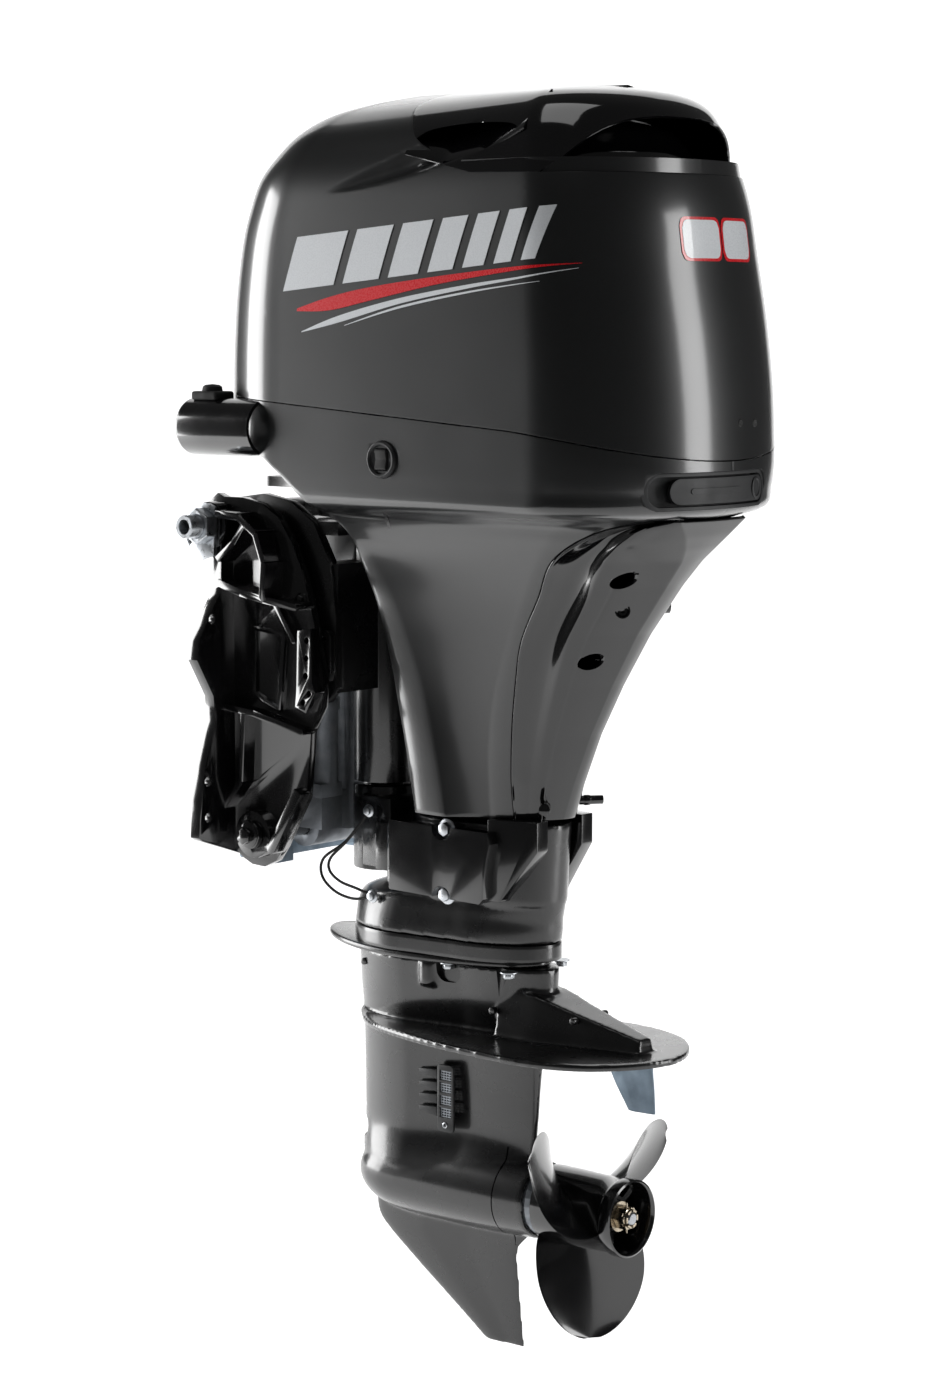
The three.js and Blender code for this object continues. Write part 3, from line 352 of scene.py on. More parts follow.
def box(name, x0, x1, y0, y1, z0, z1):
    bpy.ops.object.select_all(action="DESELECT")
    bpy.ops.mesh.primitive_cube_add(
        size=1,
        location=Vector(((x0 + x1) / 2, (y0 + y1) / 2, (z0 + z1) / 2)) * MM,
        scale=Vector((x1 - x0, y1 - y0, z1 - z0)) * MM,
    )
    piece = bpy.context.object
    piece.name = name
    return settled(piece)


def turned(name, axis, centre, profile, sides=64):
    """A turned piece; the profile lists (along, radius)."""
    count = len(profile) - 1

    def place(u, v):
        along, radius = profile[round(v * count)]
        a = 2 * math.pi * u
        c, s = radius * math.cos(a), radius * math.sin(a)
        x, y, z = {"X": (along, c, s), "Y": (c, along, s), "Z": (c, s, along)}[axis]
        return (x + centre[0], y + centre[1], z + centre[2])

    return outwards(welded(grid(name, sides, count, place)))


def curve_between(points, share):
    """A point on a smooth curve through points, at a share of their count."""
    at = share * (len(points) - 1)
    i = min(int(at), len(points) - 2)
    f = at - i
    last = len(points) - 1
    a, b, c, d = (np.array(points[min(max(k, 0), last)], float) for k in (i - 1, i, i + 1, i + 2))
    return 0.5 * (
        2 * b + (c - a) * f + (2 * a - 5 * b + 4 * c - d) * f**2 + (3 * b - a - 3 * c + d) * f**3
    )


def fine(points, count=160):
    return [tuple(curve_between(points, i / count)) for i in range(count + 1)]


FRONT_FINE = fine(FRONT_EDGE)
SWOOSH_FINE = fine(SWOOSH)


def x_on(line, z):
    """x of a falling line at a height."""
    return float(np.interp(-z, [-p[1] for p in line], [p[0] for p in line]))


def z_on(line, x):
    """z of a line that runs aft."""
    return float(np.interp(x, [p[0] for p in line], [p[1] for p in line]))


# Plan sections round the motor. u runs from the front centre, 0, to the stern centre, 1.
END_SHARE = 0.32


def parting_drop(x):
    return -0.067 * (x - 84) - 0.0008 * max(0, x - 456) ** 2


def half_point(level, u):
    _, _, front, front_length, front_half, rear, rear_length, rear_half = level
    if u < END_SHARE:
        angle = math.pi / 2 * u / END_SHARE
        return front - front_length * math.cos(angle), front_half * math.sin(angle)
    if u > 1 - END_SHARE:
        angle = math.pi / 2 * (1 - u) / END_SHARE
        return rear + rear_length * math.cos(angle), rear_half * math.sin(angle)
    share = (u - END_SHARE) / (1 - 2 * END_SHARE)
    return front + (rear - front) * share, front_half + (rear_half - front_half) * share


def section_point(levels, share, u):
    """(x, half-width, z) of the envelope at a share of its levels."""
    level = curve_between(levels, share)
    x, half = half_point(level, u)
    return x, half, level[0] + level[1] * parting_drop(x)


class Envelope:
    """A table of a lofted envelope, read by height and by place along its half section."""

    STEPS = 200

    def __init__(self, levels):
        count = self.STEPS + 1
        table = np.zeros((count, count, 3))
        for j in range(count):
            for i in range(count):
                table[i, j] = section_point(levels, j / self.STEPS, i / self.STEPS)
        self.table = table
        self.rising = table[0, -1, 2] > table[0, 0, 2]

    def column(self, i, z):
        row = self.table[i] if self.rising else self.table[i][::-1]
        return np.array([np.interp(z, row[:, 2], row[:, k]) for k in (0, 1)])

    def at(self, u, z):
        """(x, half-width) at a place along the half section and a height."""
        place = min(max(u, 0), 1) * self.STEPS
        i = min(int(place), self.STEPS - 1)
        low, high = self.column(i, z), self.column(i + 1, z)
        return tuple(low + (high - low) * (place - i))

    def u_at(self, x, z):
        """Place along the half section where it crosses x."""
        low, high = 0.0, 1.0
        for _ in range(22):
            middle = (low + high) / 2
            if self.at(middle, z)[0] < x:
                low = middle
            else:
                high = middle
        return (low + high) / 2

    def half(self, x, z):
        return self.at(self.u_at(x, z), z)[1]

    def stern(self, y, z):
        """x of the stern at a distance off the middle line."""
        low, high = 0.5, 1.0
        for _ in range(22):
            middle = (low + high) / 2
            if self.at(middle, z)[1] > abs(y):
                low = middle
            else:
                high = middle
        return self.at(low, z)[0]


def foil(z, front, rear, half, rear_share=0.9):
    length = rear - front
    return (
        z, 0, front + 0.34 * length, 0.34 * length, half,
        rear - 0.36 * length, 0.36 * length, half * rear_share,
    )


def loop_point(level, around):
    """A point of the closed section, (x, y), around from 0 to 1."""
    u = 2 * around if around <= 0.5 else 2 - 2 * around
    x, half = half_point(level, u)
    return x, (-half if around <= 0.5 else half)


def skin(name, levels, around=96, rows=40):
    """A closed solid over plan sections."""

    def place(u, v):
        level = curve_between(levels, v)
        x, y = loop_point(level, u)
        return x, y, level[0]

    piece = welded(grid(name, around, rows, place))
    capped(piece)
    return outwards(piece)


# Finishes.
def add(tree, kind, settings=None, links=None):
    """Adds a node with its settings, and links its inputs from other nodes' outputs."""
    made = tree.nodes.new(kind)
    for key, value in (settings or {}).items():
        if key in made.inputs:
            made.inputs[key].default_value = value
        else:
            setattr(made, key, value)
    for key, output in (links or {}).items():
        tree.links.new(output, made.inputs[key])
    return made


def shader(name):
    """A new material with a principled shader, its tree and its object coordinates."""
    material = bpy.data.materials.new(name)
    material.use_nodes = True
    tree = material.node_tree
    surface = tree.nodes["Principled BSDF"]
    place = add(tree, "ShaderNodeTexCoord").outputs["Object"]
    return material, tree, surface, place


def grained(tree, surface, place, scale, strength, distance):
    """Fine relief on a surface."""
    grain = add(tree, "ShaderNodeTexNoise", {"Scale": scale, "Detail": 3.0}, {"Vector": place})
    relief = add(
        tree,
        "ShaderNodeBump",
        {"Strength": strength, "Distance": distance},
        {"Height": grain.outputs["Fac"]},
    )
    tree.links.new(relief.outputs["Normal"], surface.inputs["Normal"])
    return relief


def varied(tree, surface, place, scale, colour_a, colour_b, rough_a, rough_b):
    """Slow variation of colour and roughness."""
    drift = add(tree, "ShaderNodeTexNoise", {"Scale": scale, "Detail": 4.0}, {"Vector": place})
    tint = add(tree, "ShaderNodeMix", {"data_type": "RGBA"}, {"Factor": drift.outputs["Fac"]})
    tint.inputs[6].default_value = (*colour_a, 1)
    tint.inputs[7].default_value = (*colour_b, 1)
    tree.links.new(tint.outputs[2], surface.inputs["Base Color"])
    rough = add(
        tree,
        "ShaderNodeMapRange",
        {"From Min": 0.3, "From Max": 0.7, "To Min": rough_a, "To Max": rough_b},
        {"Value": drift.outputs["Fac"]},
    )
    tree.links.new(rough.outputs["Result"], surface.inputs["Roughness"])


def scaled(colour, factor):
    return tuple(min(1, c * factor) for c in colour[:3])


def metallic_enamel():
    """Automotive two-coat enamel on moulded resin: flake base under a clear coat."""
    material, tree, surface, place = shader("metallic_enamel")
    base = colours().enamel
    # Flakes are drawn 0.9 mm across, coarser than real, so that they show at all.
    flakes = add(tree, "ShaderNodeTexVoronoi", {"Scale": 1100.0}, {"Vector": place})
    tint = add(tree, "ShaderNodeMix", {"data_type": "RGBA"}, {"Factor": flakes.outputs["Distance"]})
    tint.inputs[6].default_value = (*scaled(base, 1.5), 1)
    tint.inputs[7].default_value = (*scaled(base, 0.6), 1)
    tree.links.new(tint.outputs[2], surface.inputs["Base Color"])
    drift = add(tree, "ShaderNodeTexNoise", {"Scale": 9.0, "Detail": 3.0}, {"Vector": place})
    rough = add(
        tree,
        "ShaderNodeMapRange",
        {"To Min": 0.3, "To Max": 0.38},
        {"Value": drift.outputs["Fac"]},
    )
    tree.links.new(rough.outputs["Result"], surface.inputs["Roughness"])
    surface.inputs["Metallic"].default_value = 0.2
    surface.inputs["Coat Weight"].default_value = 1.0
    surface.inputs["Coat Roughness"].default_value = 0.14
    # Orange peel of sprayed clear coat, about 6 mm from crest to crest.
    grained(tree, surface, place, 160.0, 0.03, 0.0002)
    return material


def moulded_gloss():
    """High-gloss injection-moulded resin: deep black, mirror-like, very slight flow waviness."""
    material, tree, surface, place = shader("moulded_gloss")
    base = colours().gloss
    varied(tree, surface, place, 14.0, scaled(base, 1.3), scaled(base, 0.8), 0.07, 0.12)
    surface.inputs["Coat Weight"].default_value = 0.6
    surface.inputs["Coat Roughness"].default_value = 0.03
    grained(tree, surface, place, 90.0, 0.02, 0.0002)
    return material


def satin_enamel():
    """Baked marine enamel on die-cast aluminium: soft sheen and a fine sprayed grain."""
    material, tree, surface, place = shader("satin_enamel")
    base = colours().satin
    varied(tree, surface, place, 22.0, scaled(base, 1.25), scaled(base, 0.8), 0.24, 0.32)
    surface.inputs["Coat Weight"].default_value = 0.6
    surface.inputs["Coat Roughness"].default_value = 0.14
    # Spray grain of about 1.2 mm.
    grained(tree, surface, place, 850.0, 0.04, 0.0001)
    return material


def gloss_enamel():
    """Baked gloss enamel on cast aluminium: black, wet-looking, with slight casting waviness."""
    material, tree, surface, place = shader("gloss_enamel")
    base = colours().gloss
    varied(tree, surface, place, 30.0, scaled(base, 1.5), scaled(base, 0.9), 0.14, 0.22)
    surface.inputs["Coat Weight"].default_value = 0.8
    surface.inputs["Coat Roughness"].default_value = 0.08
    grained(tree, surface, place, 120.0, 0.05, 0.0003)
    return material


def grained_plastic():
    """Glass-filled polyamide moulded in a spark-eroded tool: matt with a 0.8 mm grain."""
    material, tree, surface, place = shader("grained_plastic")
    varied(tree, surface, place, 40.0, linear("1c1d1f"), linear("121314"), 0.5, 0.62)
    grained(tree, surface, place, 1200.0, 0.25, 0.0002)
    return material


def plated_steel():
    """Zinc-plated turned steel: pale, slightly cloudy, with fine turning marks."""
    material, tree, surface, place = shader("plated_steel")
    varied(tree, surface, place, 180.0, linear("c8cbce"), linear("a9adb2"), 0.24, 0.4)
    surface.inputs["Metallic"].default_value = 1.0
    grained(tree, surface, place, 1500.0, 0.06, 0.0001)
    return material


def cast_aluminium():
    """Bare die-cast aluminium: mid grey with a sandy 1.5 mm skin and cloudy tone."""
    material, tree, surface, place = shader("cast_aluminium")
    varied(tree, surface, place, 60.0, linear("9a9ea3"), linear("6f7378"), 0.42, 0.6)
    surface.inputs["Metallic"].default_value = 0.85
    grained(tree, surface, place, 650.0, 0.35, 0.0003)
    return material


def cast_zinc():
    """Sacrificial anode zinc: blue-grey, chalky, blotched by its cast skin."""
    material, tree, surface, place = shader("cast_zinc")
    varied(tree, surface, place, 55.0, linear("8f9fad"), linear("6a7986"), 0.5, 0.7)
    surface.inputs["Metallic"].default_value = 0.6
    grained(tree, surface, place, 420.0, 0.4, 0.0003)
    return material


def machined_steel():
    """Ground shaft steel: bright, with light machining haze."""
    material, tree, surface, place = shader("machined_steel")
    varied(tree, surface, place, 120.0, linear("b4b6ba"), linear("909398"), 0.22, 0.34)
    surface.inputs["Metallic"].default_value = 1.0
    grained(tree, surface, place, 900.0, 0.08, 0.0001)
    return material


def stainless_nut():
    """Machined stainless with a faint straw tint from greased threads."""
    material, tree, surface, place = shader("stainless_nut")
    varied(tree, surface, place, 200.0, linear("c9bfae"), linear("a0927c"), 0.2, 0.36)
    surface.inputs["Metallic"].default_value = 1.0
    grained(tree, surface, place, 1400.0, 0.08, 0.0001)
    return material


def moulded_rubber():
    """Compression-moulded synthetic rubber: near-black, matt with a dusty bloom."""
    material, tree, surface, place = shader("moulded_rubber")
    varied(tree, surface, place, 70.0, linear("1d1d1d"), linear("101010"), 0.65, 0.85)
    grained(tree, surface, place, 800.0, 0.2, 0.0002)
    return material


def stripe_film(name, colour):
    """Cast vinyl film under clear: even colour, slight print mottle, soft gloss."""
    material, tree, surface, place = shader(name)
    varied(tree, surface, place, 700.0, scaled(colour, 1.02), scaled(colour, 0.96), 0.26, 0.29)
    surface.inputs["Coat Weight"].default_value = 0.8
    surface.inputs["Coat Roughness"].default_value = 0.05
    return material


def floor_paint():
    """Matt studio floor paint, nearly white, with faint roller mottle, clear from its back."""
    material, tree, surface, place = shader("floor_paint")
    varied(tree, surface, place, 1.4, linear("fbfbfb"), linear("f6f6f6"), 0.75, 0.85)
    surface.inputs["Emission Color"].default_value = (1, 1, 1, 1)
    surface.inputs["Emission Strength"].default_value = 0.75
    side = add(tree, "ShaderNodeNewGeometry")
    clear = add(tree, "ShaderNodeBsdfTransparent")
    sheet = add(tree, "ShaderNodeMixShader", {}, {"Fac": side.outputs["Backfacing"]})
    tree.links.new(surface.outputs["BSDF"], sheet.inputs[1])
    tree.links.new(clear.outputs["BSDF"], sheet.inputs[2])
    tree.links.new(sheet.outputs["Shader"], tree.nodes["Material Output"].inputs["Surface"])
    return material


FINISHES = {}
SLOTS = {
    "metallic_enamel": "gloss_black",
    "moulded_gloss": "piano_black",
    "satin_enamel": "satin_black",
    "gloss_enamel": "prop_black",
    "grained_plastic": "trim_plastic",
    "plated_steel": "plated_steel",
    "cast_aluminium": "bare_casting",
    "cast_zinc": "anode_zinc",
    "machined_steel": "machined_steel",
    "stainless_nut": "stainless_nut",
    "moulded_rubber": "black_rubber",
    "red_film": "gloss_black",
    "silver_film": "gloss_black",
}


def dressed(piece, finish, body, *nodes):
    """Gives a piece its finish and body, and hides the CAD nodes it stands for."""
    piece.data.materials.clear()
    piece.data.materials.append(FINISHES[finish])
    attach(piece, body)
    if nodes:
        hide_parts(*nodes)
    return piece


def refined(node, finish, edge=1.0, name=None, degrees=38):
    """A copy of a CAD node with its edges rounded."""
    source = frame["nodes"][node]
    piece = bpy.data.objects.new(name or node + "_casting", source.data.copy())
    bpy.context.scene.collection.objects.link(piece)
    if piece.data.has_custom_normals:
        alone(piece)
        bpy.ops.mesh.customdata_custom_splitnormals_clear()
    edited(
        piece,
        lambda: bpy.ops.mesh.remove_doubles(threshold=2e-5),
        lambda: bpy.ops.mesh.dissolve_limited(angle_limit=math.radians(1.0)),
    )
    rounded(piece, edge * MM, 2, degrees)
    return dressed(piece, finish, source["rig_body"], node)


class MOTOR_OT_finishes(bpy.types.Operator):
    """Makes every finish and gives the CAD nodes theirs"""

    bl_idname = "motor.finishes"
    bl_label = "Finishes"

    def execute(self, context):
        makers = (
            metallic_enamel, moulded_gloss, satin_enamel, gloss_enamel, grained_plastic,
            plated_steel, cast_aluminium, cast_zinc, machined_steel, stainless_nut,
            moulded_rubber,
        )
        for maker in makers:
            FINISHES[maker.__name__] = maker()
        FINISHES["red_film"] = stripe_film("red_film", colours().red)
        FINISHES["silver_film"] = stripe_film("silver_film", colours().silver)
        by_slot = {slot: finish for finish, slot in SLOTS.items() if "film" not in finish}
        by_slot["black_enamel"] = "satin_enamel"
        slots = {}
        for entry in frame["record"].get("subparts", []):
            slots[entry.get("node")] = entry.get("material_slot") or entry.get("slot")
        for name, node in frame["nodes"].items():
            finish = by_slot.get(slots.get(name), "satin_enamel")
            node.data.materials.clear()
            node.data.materials.append(FINISHES[finish])
        return {"FINISHED"}


# Upper cowl and cap.
def cowl_place(u, v):
    """The dome: levels first, then the crown closed along the middle line."""
    dome = 0.94
    around = u if u <= 0.5 else 1 - u
    side = -1 if u <= 0.5 else 1
    if v <= dome:
        x, half, z = section_point(COWL_LEVELS, v / dome, 2 * around)
        return x, side * half, z
    share = (v - dome) / (1 - dome)
    x, half, z = section_point(COWL_LEVELS, 1, 2 * around)
    return x, side * half * (1 - share), z + 2 * share * (2 - share)


def seam_side(x, z):
    """Positive on the cap's side of the seam."""
    if z > 527:
        return x - 262
    return z - z_on(SEAM[1:], x) if x > 262 else -1


def intake_channel(x, z):
    """How far the cowl is pressed in ahead of the side intake."""
    start, end = 189, 352
    along = (x - start) / (end - start)
    if along <= 0 or along > 1.25:
        return 0
    low = 432 + 26 * along**1.5
    high = 432 + 62 * along**0.8
    middle, half = (low + high) / 2, max(1, (high - low) / 2)
    across = (z - middle) / half
    if abs(across) >= 1:
        return 0
    skewed = (1 - across**2) * (1 - 0.55 * across)
    return 9 * min(1, along * 1.6) * skewed


class MOTOR_OT_cowl(bpy.types.Operator):
    """Upper cowl, its cap with visor and side intakes, and the deck under the visor"""

    bl_idname = "motor.cowl"
    bl_label = "Cowl and cap"

    def execute(self, context):
        wall = sizes().cowl_wall
        dome = grid("cowl_shell", 216, 150, cowl_place)
        for vertex in dome.data.vertices:
            x, y, z = vertex.co / MM
            vertex.co.y -= math.copysign(intake_channel(x, z), y) * MM
        welded(dome)
        outwards(dome)
        planes = [((x0, z0), (x1, z1)) for (x0, z0), (x1, z1) in zip(SEAM, SEAM[1:])]
        planes += [((x0, z0), (x1, z1)) for (x0, z0), (x1, z1) in zip(VISOR, VISOR[1:])]
        for (x0, z0), (x1, z1) in planes:
            normal = Vector((z1 - z0, 0, x0 - x1)).normalized()
            point = Vector((x0, 0, z0)) * MM
            edited(dome, lambda: bpy.ops.mesh.bisect(plane_co=point, plane_no=normal))
        cap = dome.copy()
        cap.data = dome.data.copy()
        cap.name = "cap_shell"
        bpy.context.scene.collection.objects.link(cap)

        drop_faces(dome, lambda x, y, z: seam_side(x, z) > 0)
        drop_faces(cap, lambda x, y, z: seam_side(x, z) < 0 or (x > 489 and z < z_on(VISOR, x)))
        modified(dome, "SOLIDIFY", thickness=wall, offset=-1, use_even_offset=True)
        rounded(dome, sizes().edge, 3, 50)
        dressed(dome, "metallic_enamel", "upper_cowl", "cowl")

        modified(cap, "SOLIDIFY", thickness=0.004, offset=-1, use_even_offset=True)
        mouth = fine([
            (300, 487), (318, 495.5), (362, 500), (404, 500.6), (438, 498), (450, 491),
            (440, 484), (397, 469), (356, 461.5), (345, 463), (322, 473), (300, 487),
        ], 60)[:-1]
        cut(cap, prism("mouth", "Y", mouth, -260, 260))
        rounded(cap, sizes().edge, 3, 50)
        dressed(cap, "moulded_gloss", "upper_cowl", "top_cap")
        self.make_inside()
        self.make_deck()
        return {"FINISHED"}

    def make_inside(self):
        """Dark scoops behind the side intakes and the air box under the visor."""
        for side, sign in SIDES:

            def place(u, v, sign=sign):
                x = 290 + 170 * u
                low = z_on([(290, 470), (345, 458), (400, 465), (460, 492)], x)
                depth = 6 + 34 * v**1.4
                return x, sign * (158 - 8 * (1 - u) - depth - 14 * v), low + 42 * v

            scoop = grid("intake_scoop_" + side, 30, 12, place)
            outwards(modified(scoop, "SOLIDIFY", thickness=0.002, offset=0))
            smooth(scoop)
            dressed(scoop, "moulded_gloss", "upper_cowl")
        airbox = skin(
            "air_box",
            [
                (447, 0, 350, 70, 120, 450, 74, 132),
                (470, 0, 350, 70, 116, 450, 70, 128),
                (496, 0, 350, 60, 96, 440, 62, 104),
                (506, 0, 350, 40, 60, 430, 50, 70),
            ],
            72,
            18,
        )
        smooth(airbox)
        dressed(airbox, "moulded_gloss", "upper_cowl")

    def make_deck(self):
        """Raised band and flat deck that close the cowl under the visor."""

        def band(u, v):
            low, high = 446.5, 461.5
            around = u if u <= 0.5 else 1 - u
            side = -1 if u <= 0.5 else 1
            inset = 2 + 5 * v
            x, half = COWL.at(1 - around * 0.84, 446.5)
            scale = (half - inset) / max(half, 1)
            centre = 460
            reach = (x - centre) * (1 - inset / 160) + centre
            if v <= 0.5:
                return reach, side * half * scale, low + (high - low) * v * 2
            share = (v - 0.5) * 2
            return reach + (centre - 60 - reach) * share, side * half * scale * (1 - share), high

        deck = grid("cowl_deck", 128, 16, band)
        outwards(welded(deck))
        smooth(deck, 30)
        dressed(deck, "metallic_enamel", "upper_cowl")


COWL = Envelope(COWL_LEVELS)
COVER = Envelope(COVER_LEVELS)


# Lower covers.
def cover_patch(name, sign, columns, rows, u_span, z_span):
    """A patch of the lower covers' envelope between two edges, each a function of v."""

    def place(u, v):
        first, last = u_span(v)
        at = first + (last - first) * u
        x, half = COVER.at(at, z_span(v, at))
        return x, sign * half, z_span(v, at)

    return grid(name, columns, rows, place)


def side_cover(side, sign):
    """Upper band, stern band and long lower apron in one shell."""
    u_front = COVER.u_at(94, PAN_Z)
    u_split = COVER.u_at(572, STERN_Z)

    def rise(v, u):
        return PAN_Z + (COVER.table[round(u * COVER.STEPS), 0, 2] - 0.4 - PAN_Z) * v

    def belt(v, _):
        return STERN_Z + (PAN_Z - STERN_Z) * v

    def apron(v, _):
        return COVER_LOW + (STERN_Z - COVER_LOW) * v

    def front_u(z):
        return COVER.u_at(x_on(FRONT_FINE, z), z)

    patches = [
        cover_patch("a", sign, 26, 12, lambda v: (0, u_front), rise),
        cover_patch("b", sign, 60, 12, lambda v: (u_front, u_split), rise),
        cover_patch("c", sign, 34, 12, lambda v: (u_split, 1), rise),
        cover_patch("d", sign, 60, 12, lambda v: (front_u(belt(v, 0)), u_split), belt),
        cover_patch("e", sign, 34, 12, lambda v: (u_split, 1), belt),
        cover_patch(
            "f", sign, 60, 76,
            lambda v: (
                front_u(apron(v, 0)),
                COVER.u_at(x_on(SWOOSH_FINE, apron(v, 0)), apron(v, 0)),
            ),
            apron,
        ),
    ]
    piece = welded(joined("side_cover_" + side + "_shell", *patches), 2e-4)
    outwards(piece)
    mean = sum((f.normal.y * f.area for f in piece.data.polygons), 0)
    if mean * sign < 0:
        edited(piece, lambda: bpy.ops.mesh.flip_normals())
    modified(piece, "SOLIDIFY", thickness=sizes().cover_wall, offset=-1, use_even_offset=True)
    return piece


def stern_x(y, offset):
    return 493.5 + (125.3 + offset) * math.sqrt(max(0.0, 1 - (y / (183.5 + offset)) ** 2))


def stern_band(name, y0, y1, z0, z1, offset, depth, corner):
    """A slab that follows the stern's curve, with rounded ends."""

    def place(u, v):
        y = y0 + (y1 - y0) * (0.5 - 0.5 * math.cos(math.pi * u))
        near = min(y - y0, y1 - y)
        loss = corner - math.sqrt(max(0, corner**2 - max(0, corner - near) ** 2))
        half = (z1 - z0) / 2 - loss
        return stern_x(y, offset), y, (z0 + z1) / 2 + half * (2 * v - 1)

    piece = welded(grid(name, 64, 8, place), 1e-5)
    modified(piece, "SOLIDIFY", thickness=depth * MM, offset=-1, use_even_offset=True)
    return outwards(piece)


class MOTOR_OT_side_covers(bpy.types.Operator):
    """Port and starboard lower covers with their pan"""

    bl_idname = "motor.side_covers"
    bl_label = "Side covers"

    def execute(self, context):
        for side, sign in SIDES:
            piece = side_cover(side, sign)
            recess = stern_band("recess", LATCH_Y[0], LATCH_Y[1], LATCH_Z[0], LATCH_Z[1], 6, 22, 18)
            cut(piece, recess)
            if side == "port":
                cut(piece, rod("hole", "Y", (282, 0, 144), -230, -120, 20.6, 48))
            rounded(piece, sizes().edge, 3, 50)
            dressed(piece, "metallic_enamel", "motor", "side_cover_" + side)
        self.make_pan()
        return {"FINISHED"}

    def make_pan(self):
        """Floor that closes the covers' open front."""
        path = [(-34, PAN_Z + 3), (30, PAN_Z + 3), (88, PAN_Z + 3)]
        path += [(x, z + 4) for x, z in FRONT_EDGE]
        line = fine(path, 60)

        def place(u, v):
            x, z = line[round(v * 60)]
            level = min(max(z, COVER_LOW + 2), 200)
            half = COVER.half(x, level) - 3.5
            y = half * (2 * u - 1)
            clear = 188 + 0.5 * abs(y) if z < 112 else x
            return max(x, clear), y, z

        pan = grid("cover_pan", 24, 60, place)
        modified(pan, "SOLIDIFY", thickness=0.003, offset=1)
        outwards(pan)
        smooth(pan)
        dressed(pan, "satin_enamel", "motor")


class MOTOR_OT_rear_cover(bpy.types.Operator):
    """Glossy rear cover with its flutes, bolt pockets and clip"""

    bl_idname = "motor.rear_cover"
    bl_label = "Rear cover"

    def execute(self, context):
        line = [(x + 1.2, z - 1.2) for x, z in SWOOSH_FINE]

        def place(u, v):
            z = COVER_LOW - 1 + (STERN_Z - 1.2 - COVER_LOW + 1) * v
            share = 1 - abs(2 * u - 1)
            x, half = self.ridge_point(x_on(line, z), z, share)
            return x, half * (-1 if u < 0.5 else 1) if share < 1 else 0, z

        piece = grid("rear_cover_shell", 176, 110, place)
        welded(piece)
        outwards(piece)
        modified(piece, "SOLIDIFY", thickness=sizes().cover_wall, offset=-1)
        pockets = [(499, 56, 18), (440, 40, -74)]
        tools = []
        for x, y, z in pockets:
            for sign in (1, -1):
                tools.append(rod("pocket", "X", (0, sign * y, z), x - 30, x + 90, 9.5, 40))
        cut(piece, *tools)
        rounded(piece, sizes().edge, 2, 50)
        dressed(piece, "moulded_gloss", "motor", "rear_cover")
        for i, (x, y, z) in enumerate(pockets):
            for side, sign in SIDES:
                cup = turned(
                    "rear_pocket_%s_%d" % (side, i + 1),
                    "X",
                    (0, sign * y, z),
                    [(x - 26, 0), (x - 26, 9.8), (x - 4, 9.8), (x - 4, 9.0), (x - 23, 8.6),
                     (x - 23, 5.5), (x - 18, 5.2), (x - 17, 4.4), (x - 17, 0)],
                    32,
                )
                smooth(cup, 40)
                dressed(cup, "moulded_gloss", "motor")
        self.make_clip()
        return {"FINISHED"}

    def ridge_point(self, x_first, z, share):
        """(x, half-width) between the swoosh, share 0, and the stern's middle, share 1."""
        first = COVER.half(x_first, z)
        heights = [-row[0] for row in RIDGE_BACK]
        back = float(np.interp(-z, heights, [row[1] for row in RIDGE_BACK]))
        flat = float(np.interp(-z, heights, [row[2] for row in RIDGE_BACK]))
        corner = 0.86
        if share > corner:
            rest = (share - corner) / (1 - corner)
            return back + 1.5 * math.sin(rest * math.pi / 2), flat * (1 - rest)
        t = share / corner
        middle = (x_first + 0.62 * (back - x_first), first - 0.14 * (first - flat))
        x = (1 - t) ** 2 * x_first + 2 * t * (1 - t) * middle[0] + t * t * back
        half = (1 - t) ** 2 * first + 2 * t * (1 - t) * middle[1] + t * t * flat
        reach = max(0.0, min(1.0, (z + 215) / 230))
        flute = 13 * reach * math.sin(math.pi * min(1, t / 0.44)) ** 1.3 if t < 0.44 else 0
        step = 2.2 * min(1, t / 0.02) * (1 - min(1, max(0, t - 0.3) / 0.2))
        crease = 1.2 * max(0.0, 1 - abs(t - 0.6) / 0.018) if z < 12 else 0
        sink = flute + step + crease
        return x - 0.35 * sink, half - 0.94 * sink

    def make_clip(self):
        """Retaining pin across the ridge's foot."""
        for side, sign in SIDES:
            clip = joined(
                "cover_clip_" + side,
                rod("c", "Y", (0, 0, 0), -24, 24, 5.2, 24),
                rod("c", "Y", (0, 0, 0), -26, -14, 6.4, 24),
                rod("c", "Y", (0, 0, 0), 2, 9, 6.0, 24),
            )
            self.seated(clip, (396, sign * 33, -240), sign * math.radians(-37))
            rounded(clip, 0.0008, 2, 40)
            dressed(clip, "moulded_gloss", "motor")
            x, half = self.ridge_point(x_on(SWOOSH_FINE, -16), -16, 0.66)
            screw = turned(
                "ridge_screw_" + side, "Y", (0, 0, 0),
                [(4, 0), (4, 8.4), (-1.4, 8.4), (-1.4, 6.8), (0.2, 6.2), (-1.0, 5.2), (-1.0, 2.6), (1.5, 2.2),
                 (1.5, 0)], 32,
            )
            if sign > 0:
                screw.data.transform(Matrix.Rotation(math.pi, 4, "Z"))
            self.seated(screw, (x, sign * half, -16), sign * math.radians(-34))
            smooth(screw, 40)
            dressed(screw, "moulded_gloss", "motor")

    def seated(self, piece, place, turn):
        """Turns a piece about the upright axis and puts it in place, in its mesh."""
        at = Matrix.Translation(Vector(place) * MM)
        piece.data.transform(at @ Matrix.Rotation(turn, 4, "Z"))


# Leg.
def blended(piece, grain, rounds=6):
    """Turns joined solids into one casting with soft blends where they meet."""
    modified(piece, "REMESH", mode="VOXEL", voxel_size=grain, adaptivity=0.0)
    modified(piece, "SMOOTH", factor=0.5, iterations=rounds)
    return smooth(piece, 50)


